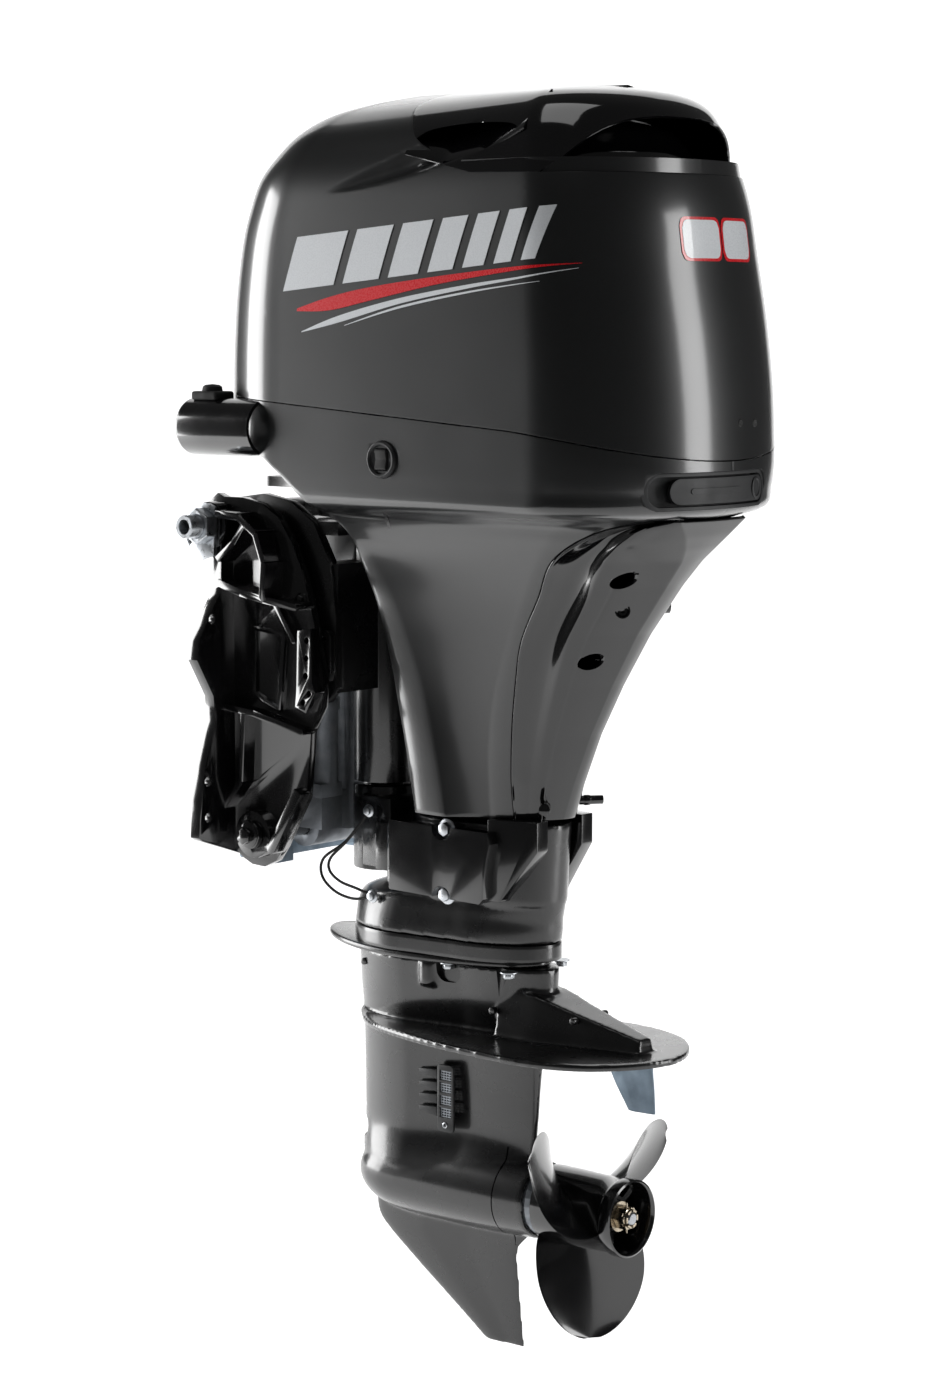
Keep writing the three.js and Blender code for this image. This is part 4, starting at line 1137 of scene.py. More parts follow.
class MOTOR_OT_mid_case(bpy.types.Operator):
    """Leg casting under the covers, with its spacer and splash plate"""

    bl_idname = "motor.mid_case"
    bl_label = "Mid case"

    def execute(self, context):
        top = skin(
            "mid_case_leg",
            [foil(-250, 192, 376, 50), foil(-256, 192, 376, 50), foil(-268, 192, 378, 50)],
            96,
            6,
        )
        waist = skin(
            "waist",
            [foil(-263, 190, 398, 58), foil(-310, 190, 394, 58), foil(-354, 190, 391, 58)],
            96,
            30,
        )
        flare = skin(
            "flare",
            [foil(-346, 150, 391, 50), foil(-352, 130, 391, 57), foil(-360, 113, 390, 61),
             foil(-374, 105, 387, 63), foil(-386, 103, 386, 65), foil(-400, 101, 384, 66)],
            96,
            24,
        )
        leg = blended(joined("mid_case_leg", top, waist, flare), sizes().cast_grain, 5)
        upper = skin(
            "mid_case_head",
            [foil(100, 190, 374, 50), foil(-80, 192, 376, 50), foil(-252, 192, 376, 50)],
            96,
            24,
        )
        flange = skin("flange", [foil(z, 176, 470, 100) for z in (82, 91, 100)], 96, 4)
        head = joined("mid_case_head", upper, flange)
        smooth(head, 40)
        dressed(head, "satin_enamel", "motor")
        dressed(leg, "satin_enamel", "motor", "mid_case")
        spacer = skin(
            "spacer_band",
            [foil(-400.4, 101, 384, 66), foil(-410, 101, 384, 66), foil(-420, 101, 384, 66)],
            128,
            4,
        )
        rounded(spacer, 0.0012, 2, 50)
        dressed(spacer, "satin_enamel", "motor", "spacer_plate")
        self.make_splash_plate()
        return {"FINISHED"}

    def make_splash_plate(self):
        def place(u, v):
            angle = 2 * math.pi * u
            nose = max(0.0, -math.cos(angle))
            x = 214 + (158 if math.cos(angle) > 0 else 159) * math.cos(angle)
            y = 67 * math.sin(angle) * (1 - 0.1 * max(0, math.cos(angle)))
            reach = 1 - 0.012 * (2 * v - 1) ** 2
            lift = 7 * nose**3
            return 214 + (x - 214) * reach, y * reach, -428 + 7.6 * v + lift

        plate = welded(grid("splash_plate_lip", 128, 4, place))
        capped(plate)
        outwards(plate)
        rounded(plate, 0.002, 3, 50)
        dressed(plate, "satin_enamel", "motor", "splash_plate")


class MOTOR_OT_mount_covers(bpy.types.Operator):
    """Covers over the lower rubber mounts, with the seats for their bolts"""

    bl_idname = "motor.mount_covers"
    bl_label = "Lower mount covers"

    def execute(self, context):
        for side, sign in SIDES:
            front = [
                (192, -276), (206, -268), (348, -269), (353, -282), (349, -300),
                (345, -322), (344, -344), (338, -350), (200, -347), (192, -340),
            ]
            cover = prism("lower_mount_cover_%s_shell" % side, "Y", front, *sorted((sign * 48, sign * 78)))
            corner = prism(
                "corner", "Z", [(180, sign * 90), (180, sign * 62), (194, sign * 66), (207, sign * 79)],
                -400, -200,
            )
            cut(cover, corner)
            seats = [rod("seat", "Y", (283, 0, z), *sorted((sign * 66, sign * 100)), 13.5, 40)
                     for z in (-270, -349)]
            cut(cover, *seats)
            rounded(cover, 0.005, 4, 30)
            tail = prism(
                "tail", "Z", [(338, sign * 40), (338, sign * 63), (352, sign * 62), (398, sign * 50),
                              (398, sign * 30)], -348, -256,
            )
            wedge = [(356, -346), (402, -284), (420, -284), (420, -400), (356, -400)]
            slant = prism("slant", "Y", wedge, -90, 90)
            cut(tail, slant)
            rounded(tail, 0.002, 3, 30)
            joined("lower_mount_cover_%s_shell" % side, cover, tail)
            dressed(cover, "gloss_enamel", "motor", "lower_mount_cover_" + side)
        return {"FINISHED"}


def rounded_slot(x0, x1, z_low, z_high, radius, steps=10):
    """A slot open at its top with rounded lower corners, as (x, z)."""
    points = [(x1, z_high), (x0, z_high)]
    for i in range(steps + 1):
        a = math.pi + math.pi / 2 * i / steps
        points.append((x0 + radius + radius * math.cos(a), z_low + radius + radius * math.sin(a)))
    for i in range(steps + 1):
        a = 1.5 * math.pi + math.pi / 2 * i / steps
        points.append((x1 - radius + radius * math.cos(a), z_low + radius + radius * math.sin(a)))
    return points


class MOTOR_OT_gearcase(bpy.types.Operator):
    """Gearcase casting: strut, plate, snout, torpedo and skeg, with its pockets"""

    bl_idname = "motor.gearcase"
    bl_label = "Gearcase"

    def execute(self, context):
        strut = skin(
            "gearcase_casting",
            [foil(-428.4, 104, 384, 56, 0.85), foil(-450, 104, 384, 53, 0.82), foil(-475, 104, 383, 49, 0.8),
             foil(-500, 105, 376, 43, 0.74), foil(-520, 105, 369, 40, 0.7), foil(-560, 105, 364, 36, 0.62),
             foil(-600, 105, 361, 34, 0.6), foil(-632, 105, 358, 33.5, 0.62), foil(-650, 104, 357, 36, 0.72),
             foil(-664, 104, 357, 40, 0.85), foil(-678, 106, 358, 44, 0.95), foil(-700, 112, 356, 45, 1.0)],
            128,
            90,
        )
        side = fine(
            [(104, 0), (108, 16), (122, 32), (150, 58), (183, 77), (247, 96), (306, 107), (376, 114),
             (425, 115), (460, 108), (490, 95), (512, 78), (531, 55), (545, 28), (551, 0)],
            56,
        )
        outline = side + [(x, -y) for x, y in side[-2:0:-1]]
        plate = prism("plate", "Z", outline, PLATE_Z - 4, PLATE_Z + 4)
        snout = self.snout()
        torpedo = turned(
            "torpedo",
            "X",
            (0, 0, PROP_Z),
            fine(
                [(101, 0), (102, 8), (107, 18), (118, 29), (138, 39), (170, 45), (240, 47),
                 (310, 46.5), (371, 44)],
                60,
            )
            + [(371.6, 43), (371.6, 38.8), (300, 38.8), (300, 0)],
            96,
        )
        skeg = skin(
            "skeg",
            [foil(-700, 116, 356, 14, 0.6), foil(-738, 118, 350, 11, 0.5), foil(-762, 128, 332, 8, 0.5),
             foil(-800, 178, 334, 6.5, 0.5), foil(-840, 236, 338, 5, 0.5), foil(-874, 284, 342, 3.4, 0.5)],
            96,
            70,
        )
        bosses = [rod("boss", "Z", (238, s * 45, 0), -458, -429, 12, 32) for s in (-1, 1)]
        case = joined("gearcase_casting", strut, plate, snout, torpedo, skeg, *bosses)
        blended(case, sizes().cast_grain, 7)
        tools = [rod("notch", "Y", (110, 0, -648), -60, 60, 13, 32)]
        groove = [(329, 39.5), (330.6, 39.5), (330.6, 60), (329, 60), (329, 39.5)]
        tools.append(turned("groove", "X", (0, 0, PROP_Z), groove, 96))
        for sign in (-1, 1):
            for x0, x1, low, radius, depth in ((333, 378, -476, 20, 36), (252, 284, -452, 12, 42)):
                shape = rounded_slot(x0, x1, low, -420, radius)
                a, b = sorted((sign * depth, sign * 80))
                tools.append(prism("pocket", "Y", shape, a, b))
            slot = rounded_slot(291, 296, -458, -420, 2.4, 4)
            tools.append(prism("slot", "Y", slot, *sorted((sign * 46, sign * 80))))
            tools.append(self.grille_seat(sign))
        cut(case, *tools)
        rounded(case, 0.0008, 2, 55)
        smooth(case, 45)
        dressed(case, "satin_enamel", "motor", "gearcase")
        self.make_plugs()
        return {"FINISHED"}

    def snout(self):
        rings = [
            (330, -452, 44), (372, -455, 41), (392, -459, 38),
            (420, -467, 32), (470, -480, 23), (512, -491, 15),
        ]

        def place(u, v):
            x, top, half = curve_between(rings, v)
            corners = [
                (-half, PLATE_Z), (half, PLATE_Z), (half * 0.72, top),
                (-half * 0.72, top), (-half, PLATE_Z),
            ]
            at = u * 4
            i = min(int(at), 3)
            f = at - i
            y = corners[i][0] + (corners[i + 1][0] - corners[i][0]) * f
            z = corners[i][1] + (corners[i + 1][1] - corners[i][1]) * f
            return x, y, z

        piece = welded(grid("snout", 32, 40, place))
        capped(piece)
        return outwards(piece)

    def grille_seat(self, sign):
        a, b = sorted((sign * 31.5, sign * 60))
        seat = prism("seat", "Y", rounded_box(241, 266.5, -630, -551, 5), a, b)
        return seat

    def make_plugs(self):
        """Small round plugs cast into the case's sides."""
        spots = [(135, 42, -445), (194.7, 50.5, -452), (328.6, 43.5, -477), (433, 29.5, -477)]
        for i, (x, y, z) in enumerate(spots):
            for side, sign in SIDES:
                name = "case_plug_%s_%d" % (side, i + 1)
                plug = rod(name, "Y", (x, 0, z), sign * (y - 6), sign * (y + 1), 4, 24)
                rounded(plug, 0.0005, 2, 40)
                dressed(plug, "satin_enamel", "motor")


def rounded_box(x0, x1, z0, z1, radius, steps=6):
    points = []
    for cx, cz, start in (
        (x1 - radius, z1 - radius, 0), (x0 + radius, z1 - radius, 90),
        (x0 + radius, z0 + radius, 180), (x1 - radius, z0 + radius, 270),
    ):
        for i in range(steps + 1):
            a = math.radians(start + 90 * i / steps)
            points.append((cx + radius * math.cos(a), cz + radius * math.sin(a)))
    return points


class MOTOR_OT_grilles(bpy.types.Operator):
    """Cooling water intake grilles with their screws and louvres"""

    bl_idname = "motor.grilles"
    bl_label = "Intake grilles"

    def execute(self, context):
        for side, sign in SIDES:
            face = 36.5

            def y(depth, sign=sign, face=face):
                return sorted((sign * (face - depth), sign * (face - depth - 3)))

            plate = prism(
                "grille_plate_" + side, "Y", rounded_box(241.6, 266, -629.4, -551.6, 4.5), *y(0)
            )
            bays = [box("bay", 245.5, 262.5, *sorted((sign * 30, sign * 40)), z, z + 11.5)
                    for z in (-613, -598.5, -584, -569.5)]
            cut(plate, *bays)
            rounded(plate, 0.0007, 2, 40)
            screens = []
            for z in (-613, -598.5, -584, -569.5):
                for i in range(4):
                    screens.append(box("wire", 245, 263, *y(1.6), z + 0.6 + 3.0 * i, z + 1.7 + 3.0 * i))
                for i in range(5):
                    x = 246 + 3.9 * i
                    screens.append(box("wire", x, x + 1.1, *y(1.8), z - 0.4, z + 12))
            joined("grille_screen_" + side, *screens)
            screen = screens[0]
            dressed(plate, "grained_plastic", "motor", "intake_grille_" + side)
            dressed(screen, "cast_aluminium", "motor")
            louvres = []
            for z in (-613, -598.5, -584, -569.5):
                louvre = prism(
                    "louvre", "Y", [(214, z + 4), (241, z), (241, z + 11), (214, z + 9)],
                    *sorted((sign * 30, sign * 36.4)),
                )
                louvres.append(louvre)
            joined("grille_louvres_" + side, *louvres)
            rounded(louvres[0], 0.0006, 2, 40)
            dressed(louvres[0], "grained_plastic", "motor")
            screw = turned(
                "grille_screw_" + side, "Y", (253.5, 0, -621.5),
                [(sign * (face - 2), 0), (sign * (face - 2), 3.6), (sign * (face + 0.6), 3.4),
                 (sign * (face + 1), 2.4), (sign * (face - 0.6), 1.5), (sign * (face - 0.6), 0)],
                24,
            )
            smooth(screw)
            dressed(screw, "plated_steel", "motor")
        return {"FINISHED"}


class MOTOR_OT_trim_tab(bpy.types.Operator):
    """Zinc trim tab under the plate"""

    bl_idname = "motor.trim_tab"
    bl_label = "Trim tab"

    def execute(self, context):
        tab = skin(
            "trim_tab_fin",
            [foil(-514.5, 456, 522, 8, 0.7), foil(-526, 461, 522, 7.4, 0.7), foil(-545, 471, 524, 6, 0.7),
             foil(-562, 482, 525, 5, 0.7), foil(-573, 489, 525.5, 4, 0.7)],
            64,
            24,
        )
        rounded(tab, 0.0015, 3, 50)
        dressed(tab, "cast_zinc", "motor", "trim_tab")
        return {"FINISHED"}


# Propeller.
PROP_RADIUS = 144.5
PITCH_STEP = 356 / (2 * math.pi)


def blade_point(root, u, v):
    """A point of a blade: u runs round its section, v from root to tip."""
    share = 0.24 + (0.995 - 0.24) * (1 - (1 - v) ** 1.6)
    radius = share * PROP_RADIUS
    off = (share - 0.6) / 0.4 if share > 0.6 else (0.6 - share) / 0.62
    fullness = math.sqrt(max(0.0004, 1 - off**2))
    chord = 132 * fullness
    slant = math.hypot(radius, PITCH_STEP)
    span = chord / slant
    side = 1 if u <= 0.5 else -1
    along = 2 * u if u <= 0.5 else 2 - 2 * u
    along = 0.5 - 0.5 * math.cos(math.pi * along)
    turn = (along - 0.5) * span
    thick = 9.5 - 7.6 * share
    bulge = side * thick * 0.5 * max(0.0, math.sin(math.pi * along)) ** 0.6
    camber = 3.2 * math.sin(math.pi * along)
    lift = bulge - camber
    angle = root - 0.1 * (share - 0.3) + turn - lift * PITCH_STEP / (radius * slant)
    x = 432 + 20 * (share - 0.26) + turn * PITCH_STEP + lift * radius / slant
    return x, radius * math.cos(angle), PROP_Z + radius * math.sin(angle)


class MOTOR_OT_propeller(bpy.types.Operator):
    """Three-blade propeller, its nut and its washer"""

    bl_idname = "motor.propeller"
    bl_label = "Propeller"

    def execute(self, context):
        blades = []
        for i in range(3):
            root = math.radians(30 + 120 * i)
            blade = welded(grid("blade", 64, 40, lambda u, v, root=root: blade_point(root, u, v)), 2e-5)
            capped(blade)
            outwards(blade)
            smooth(blade, 60)
            blades.append(blade)
        profile = [
            (381, 36), (381, 41), (383, 43), (392, 43.6), (430, 43), (460, 42), (476, 41.2), (479, 43),
            (482, 44.2), (490, 44.4), (494, 43.6), (495, 41.5), (493, 39.4), (488, 38.6), (470, 37.5),
            (386, 36), (381, 36),
        ]
        barrel = turned("propeller_casting", "X", (0, 0, PROP_Z), profile, 96)
        hub = turned(
            "hub", "X", (0, 0, PROP_Z),
            [(388, 18.2), (388, 23), (391, 24), (466, 24), (469, 22.5), (470, 18.2), (388, 18.2)], 64,
        )
        spokes = []
        for i in range(3):
            a = math.radians(30 + 120 * i)
            spoke = box("spoke", 390, 466, 21, 38, -3.5, 3.5)
            spoke.data.transform(Matrix.Rotation(a, 4, "X"))
            spoke.data.transform(Matrix.Translation((0, 0, PROP_Z * MM)))
            spokes.append(spoke)
        smooth(barrel, 40)
        smooth(hub, 40)
        piece = joined("propeller_casting", barrel, hub, *spokes, *blades)
        dressed(piece, "gloss_enamel", "screw", "propeller")
        self.make_nut()
        return {"FINISHED"}

    def make_nut(self):
        nut = rod("castle_nut", "X", (0, 0, PROP_Z), 478.4, 492, 13.5, 6)
        crown = rod("crown", "X", (0, 0, PROP_Z), 486, 495, 10.6, 32)
        alone(nut)
        modified(nut, "BOOLEAN", object=crown, operation="UNION", solver="EXACT")
        bpy.data.objects.remove(crown)
        slots = []
        for angle in (0, 60, 120):
            slot = box("slot", 488.5, 500, -20, 20, -1.8, 1.8)
            slot.data.transform(Matrix.Rotation(math.radians(angle + 30), 4, "X"))
            slot.data.transform(Matrix.Translation((0, 0, PROP_Z * MM)))
            slots.append(slot)
        cut(nut, *slots, rod("thread", "X", (0, 0, PROP_Z), 470, 500, 8, 32))
        rounded(nut, 0.0005, 2, 30)
        dressed(nut, "stainless_nut", "screw", "prop_nut")
        washer = turned(
            "nut_washer", "X", (0, 0, PROP_Z), [(475.5, 9), (475.5, 17), (478, 17), (478, 9), (475.5, 9)], 48
        )
        smooth(washer)
        dressed(washer, "stainless_nut", "screw")


# Fasteners.
def hex_bolt(name, axis, centre, seat, out, across, finish="plated_steel", body="motor"):
    """A flanged hexagon bolt whose head stands out from a seat along an axis."""
    far = seat + out * across * 0.62
    head = rod(name, axis, centre, *sorted((seat + out * 1.5, far)), across / 2 / math.cos(math.pi / 6), 6)
    rounded(head, across * 0.045 * MM, 2, 30)
    flange = turned(
        "flange", axis, tuple(0 if "XYZ"[k] == axis else centre[k] for k in range(3)),
        [(seat, 0), (seat, across * 0.82), (seat + out * 1.2, across * 0.82),
         (seat + out * 2.4, across * 0.6), (seat + out * 2.4, 0)],
        32,
    )
    smooth(flange, 40)
    piece = joined(name, head, flange)
    return dressed(piece, finish, body)


class MOTOR_OT_fasteners(bpy.types.Operator):
    """Visible bolts and screws on the leg, covers and brackets"""

    bl_idname = "motor.fasteners"
    bl_label = "Fasteners"

    def execute(self, context):
        for side, sign in SIDES:
            for name, z in (("upper", -272), ("lower", -346)):
                hex_bolt("mount_bolt_%s_%s" % (name, side), "Y", (283, 0, z), sign * 66, sign, 14)
            for i, x in enumerate((268, 356)):
                hex_bolt("case_bolt_%s_%d" % (side, i + 1), "Z", (x, sign * 47, 0), -428.2, -1, 12)
            hex_bolt(
                "cheek_bolt_" + side, "Y", (120, 0, -20), sign * 128, sign, 10,
                "gloss_enamel", "transom_bracket",
            )
            hex_bolt("lower_pin_bolt_" + side, "Y", (58, 0, -292), sign * 152.6, sign, 17, "gloss_enamel",
                     frame["nodes"]["lower_pin"]["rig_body"])
        for i, (x, y, z) in enumerate(((618.6, 16, 185.7), (615.2, 47, 184.9))):
            plug = turned(
                "stern_plug_%d" % (i + 1), "X", (0, y, z),
                [(x - 4, 0), (x - 4, 4.4), (x + 0.6, 4.4), (x + 1.4, 3.4), (x + 0.8, 0)], 24,
            )
            smooth(plug, 40)
            dressed(plug, "moulded_rubber", "upper_cowl")
        return {"FINISHED"}


# Controls at the covers.
class MOTOR_OT_controls(bpy.types.Operator):
    """Tilt switch, cowl latch and rigging tube"""

    bl_idname = "motor.controls"
    bl_label = "Switch, latch and rigging tube"

    def execute(self, context):
        self.make_switch()
        self.make_latch()
        self.make_tube()
        return {"FINISHED"}

    def make_switch(self):
        ring = turned(
            "switch_ring", "Y", (282, 0, 144),
            [(-168, 20), (-174, 20.2), (-177, 19.4), (-178, 18), (-177, 16), (-174.5, 15.4),
             (-174.5, 0), (-168, 0)],
            64,
        )
        smooth(ring, 50)
        window = box("window", 273.5, 290.5, -180, -170, 132, 156)
        cut(ring, window)
        rounded(ring, 0.0004, 2, 40)
        dressed(ring, "grained_plastic", "motor", "switch_bezel")
        rocker = prism(
            "switch_rocker_key", "X",
            [
                (-170, 133), (-177.4, 133), (-178.4, 135), (-176, 144),
                (-178.4, 153), (-177.4, 155), (-170, 155),
            ],
            274.2, 289.8,
        )
        rounded(rocker, 0.0008, 3, 25)
        dressed(rocker, "moulded_rubber", "switch", "switch_rocker")

    def make_latch(self):
        y0, y1 = LATCH_Y
        z0, z1 = LATCH_Z
        tray = stern_band("latch_tray", y0 + 0.6, y1 - 0.6, z0 + 0.6, z1 - 0.6, -0.6, 13, 17.5)
        hollow = stern_band("hollow", y0 + 4, y1 - 4, z0 + 4, z1 - 4, 6, 17.5, 14.5)
        cut(tray, hollow)
        rounded(tray, 0.0008, 2, 50)
        dressed(tray, "grained_plastic", "motor", "latch_base")
        lever = stern_band("latch_handle", y0 + 32, y1 - 7, z0 + 6.5, z1 - 6.5, -0.8, 5, 13)
        rounded(lever, 0.0012, 3, 50)
        dressed(lever, "grained_plastic", "latch", "latch_lever")
        ridge = stern_band("latch_ridge", -60, 20, 113, 119, 0.1, 1.4, 3)
        rounded(ridge, 0.0005, 2, 50)
        dressed(ridge, "grained_plastic", "latch")
        x = stern_x(56, -0.8)
        button = turned(
            "latch_pivot_cap", "X", (0, 56, 116),
            [
                (x - 4, 0), (x - 4, 12), (x + 0.4, 12), (x + 1.2, 11),
                (x + 1.2, 9.4), (x + 0.2, 8.6), (x + 0.2, 0),
            ],
            48,
        )
        turn = Matrix.Rotation(math.radians(16), 4, "Z")
        at = Vector((x, 56, 116)) * MM
        button.data.transform(Matrix.Translation(at) @ turn @ Matrix.Translation(-at))
        smooth(button, 40)
        dressed(button, "grained_plastic", "latch")

    def make_tube(self):
        profile = [(-24, 28.8), (-24, 31.4), (-23.2, 32.2), (-21, 32.5), (20, 32.5), (70, 32.5), (88, 32.5),
                   (88, 28.5), (-24, 28.8)]
        tube = turned("rigging_sleeve", "X", (0, -150, 173), profile, 96)
        clear = skin("clear", [(l[0], 0.0, *l[2:]) for l in (
            (260, 0, 112, 149.6, 164.6, 495, 126, 185), (150, 0, 112, 149.6, 164.6, 495, 126, 185),
            (90, 0, 112, 149.6, 164.6, 495, 126, 185))], 96, 4)
        cut(tube, clear)
        smooth(tube, 40)
        dressed(tube, "gloss_enamel", "motor", "rigging_tube")
        saddle = box("rigging_saddle", -15, 24, -166, -134, 203, 213)
        knob = turned("knob", "Z", (4, -150, 0), [(212, 0), (212, 12), (218, 11), (220, 8), (221, 0)], 32)
        rounded(saddle, 0.003, 3, 30)
        smooth(knob, 40)
        grommet = joined("rigging_saddle", saddle, knob)
        dressed(grommet, "moulded_rubber", "motor", "rigging_grommet")


# Brackets and power trim.
class MOTOR_OT_brackets(bpy.types.Operator):
    """Clamp brackets, swivel, steering and power trim with rounded casting edges"""

    bl_idname = "motor.brackets"
    bl_label = "Brackets and power trim"

    def execute(self, context):
        for node, finish, edge in (
            ("clamp_bracket_port", "gloss_enamel", 1.8),
            ("clamp_bracket_starboard", "gloss_enamel", 1.8),
            ("swivel_bracket", "satin_enamel", 1.5),
            ("steering_bracket", "satin_enamel", 1.2),
            ("lower_yoke", "satin_enamel", 2.0),
            ("tilt_lock_lever", "satin_enamel", 0.8),
            ("trim_cylinder", "cast_aluminium", 1.2),
            ("trim_pump", "cast_aluminium", 1.2),
            ("bracket_anode", "cast_zinc", 1.5),
            ("lower_pin", "gloss_enamel", 1.0),
            ("tilt_plate", "plated_steel", 0.5),
        ):
            refined(node, finish, edge)
        self.make_tilt_tube()
        return {"FINISHED"}

    def make_tilt_tube(self):
        profile = [(-190, 8.6), (-190, 12.4), (-188.5, 13.4), (188.5, 13.4), (190, 12.4), (190, 8.6),
                   (188, 8), (-188, 8), (-190, 8.6)]
        tube = turned("tilt_tube_bar", "Y", (TILT_X, 0, TILT_Z), profile, 48)
        smooth(tube, 40)
        dressed(tube, "plated_steel", frame["nodes"]["tilt_tube"]["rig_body"], "tilt_tube")
        for side, sign in SIDES:
            low, high = (box_mm("tilt_nut_" + side)[k][1] for k in (0, 1))
            nut = rod("tilt_nut_%s_hex" % side, "Y", (TILT_X, 0, TILT_Z), low, high, 21, 6)
            cut(nut, rod("hole", "Y", (TILT_X, 0, TILT_Z), low - 5, high + 5, 13.6, 48))
            rounded(nut, 0.0012, 3, 30)
            dressed(nut, "plated_steel", frame["nodes"]["tilt_nut_" + side]["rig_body"], "tilt_nut_" + side)


def box_mm(node):
    low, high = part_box(node)
    return low / MM, high / MM


# Leads.
LEAD_LOOPS = [
    [(152, -50, -266), (138, -53, -284), (118, -56, -306), (92, -63, -326),
     (92, -66, -346), (112, -66, -362), (140, -64, -368), (168, -62, -362)],
    [(152, -50, -266), (140, -54, -284), (120, -57, -306), (101, -61, -325),
     (101, -63, -339), (118, -64, -350), (144, -63, -356), (168, -62, -362)],
]


class MOTOR_OT_leads(bpy.types.Operator):
    """Two bonding leads with their bolts"""

    bl_idname = "motor.leads"
    bl_label = "Bonding leads"

    def execute(self, context):
        radius = sizes().lead_radius
        for i, loop in enumerate(LEAD_LOOPS):
            tube = grid(
                "bonding_lead_%d" % (i + 1), 16, 84,
                lambda u, v, loop=loop: self.on_tube(loop, u, v, radius / MM),
            )
            welded(tube)
            capped(tube)
            outwards(tube)
            smooth(tube, 60)
            body = frame["nodes"]["bonding_lead"]["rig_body"]
            if i == 0:
                dressed(tube, "moulded_rubber", body, "bonding_lead")
            else:
                dressed(tube, "moulded_rubber", body)
        for name, (x, y, z) in (("upper", LEAD_LOOPS[0][0]), ("lower", LEAD_LOOPS[0][-1])):
            hex_bolt("lead_bolt_" + name, "Y", (x, 0, z), y - 1, -1, 9)
        return {"FINISHED"}

    def on_tube(self, loop, u, v, radius):
        point = curve_between(loop, v)
        ahead = curve_between(loop, min(1, v + 0.01)) - curve_between(loop, max(0, v - 0.01))
        ahead = ahead / np.linalg.norm(ahead)
        across = np.cross(ahead, (0, 1, 0))
        across = across / np.linalg.norm(across)
        other = np.cross(ahead, across)
        angle = 2 * math.pi * u
        return tuple(point + radius * (math.cos(angle) * across + math.sin(angle) * other))


# Stripes.
RED_TOP = [(150, 306), (200, 318.5), (262, 329), (363, 340), (470, 349), (540, 352.4)]
RED_LOW = [(150, 303), (200, 304), (262, 314.5), (363, 331.8), (470, 345), (540, 352)]
WHITE_TOP = [(158, 281), (216, 298.5), (306, 317), (406, 331), (480, 339), (538, 347.4)]
WHITE_LOW = [(158, 280), (216, 291), (306, 311), (406, 327), (480, 337), (538, 347)]
THIN_TOP = [(224, 288), (306, 308.5), (406, 324), (502, 334)]
THIN_LOW = [(224, 287.4), (306, 306), (406, 322), (502, 333.6)]


class MOTOR_OT_stripes(bpy.types.Operator):
    """Red and silver stripes and plain silver bars on the cowl's sides"""

    bl_idname = "motor.stripes"
    bl_label = "Stripes"

    def execute(self, context):
        for side, sign in SIDES:
            self.film("red_stripe_" + side, "red_film", sign, RED_TOP, RED_LOW)
            self.film("silver_stripe_" + side, "silver_film", sign, WHITE_TOP, WHITE_LOW)
            self.film("thin_stripe_" + side, "silver_film", sign, THIN_TOP, THIN_LOW)
            self.bars(side, sign)
        self.badge()
        return {"FINISHED"}

    def bars(self, side, sign):
        """A plain run of slanted silver bars, longest ahead."""
        edges = [(136, 214), (228, 282), (296, 340), (354, 390), (404, 434), (448, 472), (486, 504)]
        for i, (x0, x1) in enumerate(edges):

            def place(u, v, x0=x0, x1=x1):
                x = x0 + (x1 - x0) * u + 18 * (v - 0.5)
                rise = 0.088 * (x - 130)
                z = 325 + rise + (58 - 0.012 * (x - 130)) * v
                return x, sign * (COWL.half(x, z) + 0.6), z

            bar = grid("silver_bar_%s_%d" % (side, i + 1), 14, 10, place)
            outwards(modified(bar, "SOLIDIFY", thickness=0.0003, offset=0))
            smooth(bar)
            dressed(bar, "silver_film", "upper_cowl")

    def badge(self):
        """A plain two-part badge on the stern."""
        for i, (y0, y1) in enumerate(((-50, 8), (16, 74))):
            for name, finish, grow, lift in (
                ("badge_edge_%d", "red_film", 3.0, 0.6), ("badge_face_%d", "silver_film", 0.0, 1.0),
            ):

                def place(u, v, y0=y0 - grow, y1=y1 + grow, grow=grow, lift=lift):
                    y = y0 + (y1 - y0) * u
                    near = min(y - y0, y1 - y)
                    loss = 9 - math.sqrt(max(0, 81 - max(0, 9 - near) ** 2))
                    half = 20 + grow - loss
                    z = 378 + half * (2 * v - 1)
                    return COWL.stern(y, z) + lift, y, z

                plate = grid(name % (i + 1), 24, 8, place)
                outwards(modified(plate, "SOLIDIFY", thickness=0.0003, offset=0))
                smooth(plate)
                dressed(plate, finish, "upper_cowl")

    def film(self, name, finish, sign, top, low):
        x0, x1 = top[0][0], top[-1][0]

        def place(u, v):
            x = x0 + (x1 - x0) * u
            z_low = np.interp(x, [p[0] for p in fine(low, 60)], [p[1] for p in fine(low, 60)])
            z_top = np.interp(x, [p[0] for p in fine(top, 60)], [p[1] for p in fine(top, 60)])
            z = z_low + (z_top - z_low) * v
            return x, sign * (COWL.half(x, z) + 0.6), z

        film = grid(name, 90, 3, place)
        outwards(modified(film, "SOLIDIFY", thickness=0.0003, offset=0))
        smooth(film)
        dressed(film, finish, "upper_cowl")


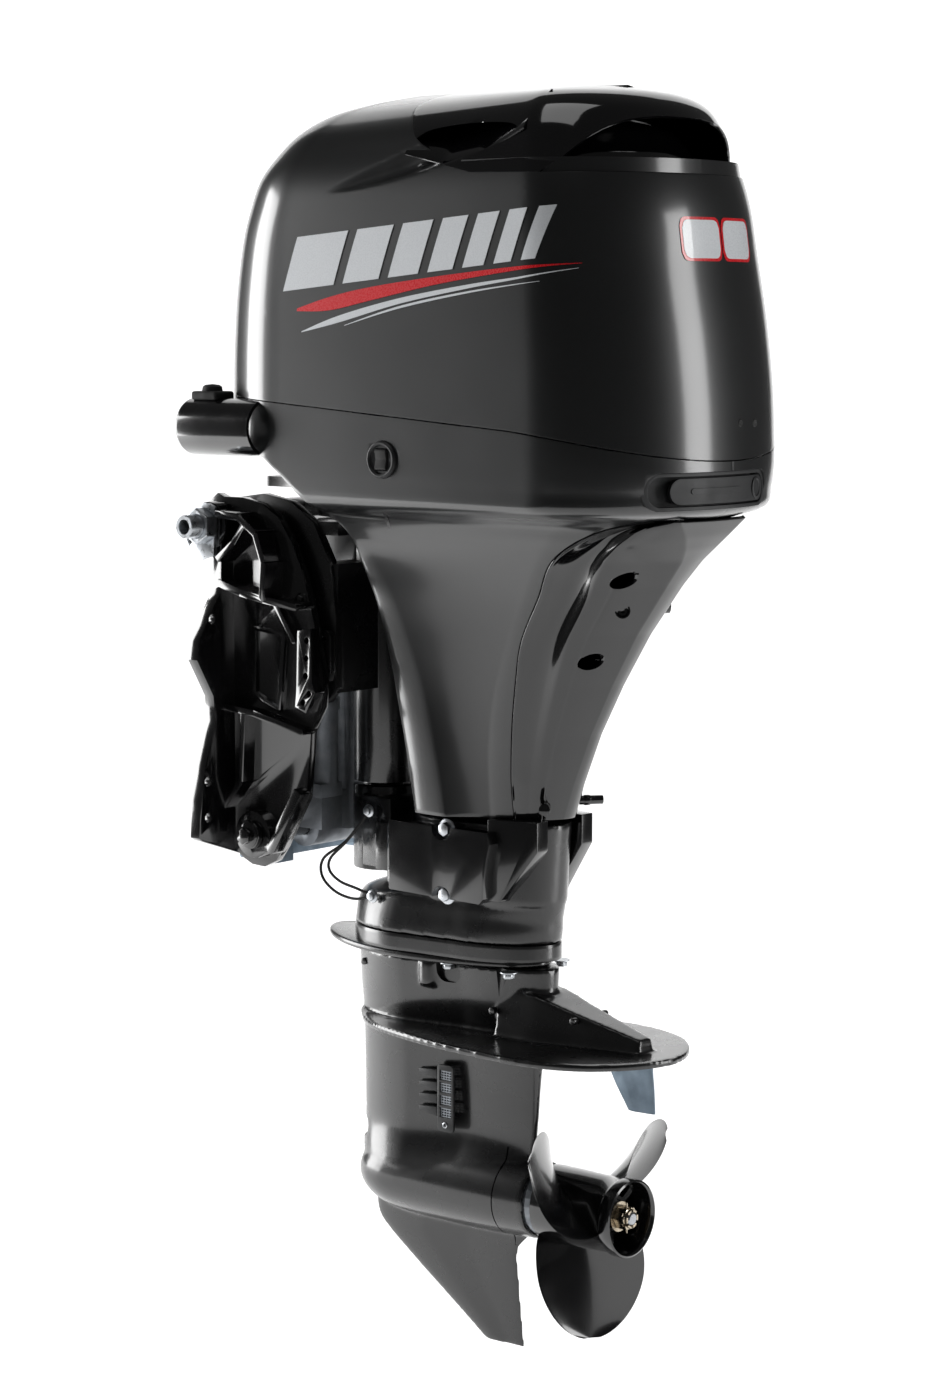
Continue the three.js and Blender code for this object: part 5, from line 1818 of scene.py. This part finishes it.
# Stage.
class MOTOR_OT_stage(bpy.types.Operator):
    """Pale floor, soft lights and the camera"""

    bl_idname = "motor.stage"
    bl_label = "Stage"

    def execute(self, context):
        def sweep(u, v):
            x = (u - 0.5) * 5200
            reach = v * 12600 - 2600
            bend = max(0.0, reach - 3200)
            y = reach if bend == 0 else 3200 + 1500 * math.sin(min(bend / 1500, math.pi / 2))
            z = 0 if bend == 0 else 1500 * (1 - math.cos(min(bend / 1500, math.pi / 2)))
            z += max(0.0, bend - 1500 * math.pi / 2)
            c, s = math.cos(math.radians(40)), math.sin(math.radians(40))
            return 255 + c * x - s * y, s * x + c * y, z - 905

        floor = grid("studio_floor", 8, 60, sweep)
        smooth(floor)
        floor.data.materials.append(floor_paint())

        world = bpy.data.worlds.new("studio")
        context.scene.world = world
        world.use_nodes = True
        world.node_tree.nodes["Background"].inputs["Color"].default_value = (1, 1, 1, 1)
        world.node_tree.nodes["Background"].inputs["Strength"].default_value = 0.06

        self.panel("front_strip", (-2.3, -1.0, 0.1), 1.2, 2.4, 85)
        self.panel("aft_strip", (2.95, 1.35, 0.1), 0.8, 2.4, 42)
        self.panel("top_box", (0.4, -0.6, 2.6), 1.6, 1.6, 14)

        back = Vector((0.63840, -0.76081, 0.11667))
        camera = bpy.data.cameras.new("camera")
        camera.lens = 85
        camera.sensor_width = 36
        view = bpy.data.objects.new("camera", camera)
        view.location = Vector((0.255, 0, -0.135)) + 3.75 * back
        view.rotation_euler = (-back).to_track_quat("-Z", "Y").to_euler()
        context.scene.collection.objects.link(view)
        context.scene.camera = view
        context.scene.view_settings.view_transform = "Standard"
        return {"FINISHED"}

    def panel(self, name, place, width, height, power):
        """A soft box that faces the motor."""
        light = bpy.data.lights.new(name, "AREA")
        light.shape = "RECTANGLE"
        light.size = width
        light.size_y = height
        light.energy = power
        made = bpy.data.objects.new(name, light)
        made.location = place
        aim = Vector((0.25, 0, -0.1)) - Vector(place)
        made.rotation_euler = aim.to_track_quat("-Z", "Y").to_euler()
        bpy.context.scene.collection.objects.link(made)


OPERATORS = (
    MOTOR_OT_finishes,
    MOTOR_OT_stage,
    MOTOR_OT_cowl,
    MOTOR_OT_side_covers,
    MOTOR_OT_rear_cover,
    MOTOR_OT_mid_case,
    MOTOR_OT_mount_covers,
    MOTOR_OT_gearcase,
    MOTOR_OT_grilles,
    MOTOR_OT_trim_tab,
    MOTOR_OT_propeller,
    MOTOR_OT_fasteners,
    MOTOR_OT_controls,
    MOTOR_OT_brackets,
    MOTOR_OT_leads,
    MOTOR_OT_stripes,
)


class MOTOR_PT_panel(bpy.types.Panel):
    """Lists the motor's pieces"""

    bl_idname = "MOTOR_PT_panel"
    bl_label = "Outboard motor"
    bl_space_type = "VIEW_3D"
    bl_region_type = "UI"
    bl_category = "Motor"

    def draw(self, context):
        for group in (context.scene.motor_sizes, context.scene.motor_colours):
            for name in group.bl_rna.properties.keys():
                if name not in ("rna_type", "name"):
                    self.layout.prop(group, name)
        for operator in OPERATORS:
            self.layout.operator(operator.bl_idname)


CLASSES = (MotorSizes, MotorColours, *OPERATORS, MOTOR_PT_panel)


def register():
    for made in CLASSES:
        bpy.utils.register_class(made)
    bpy.types.Scene.motor_sizes = bpy.props.PointerProperty(type=MotorSizes)
    bpy.types.Scene.motor_colours = bpy.props.PointerProperty(type=MotorColours)


def unregister():
    del bpy.types.Scene.motor_colours
    del bpy.types.Scene.motor_sizes
    for made in reversed(CLASSES):
        bpy.utils.unregister_class(made)


def main():
    register()
    for operator in OPERATORS:
        group, name = operator.bl_idname.split(".")
        getattr(getattr(bpy.ops, group), name)()


if __name__ == "__main__":
    main()
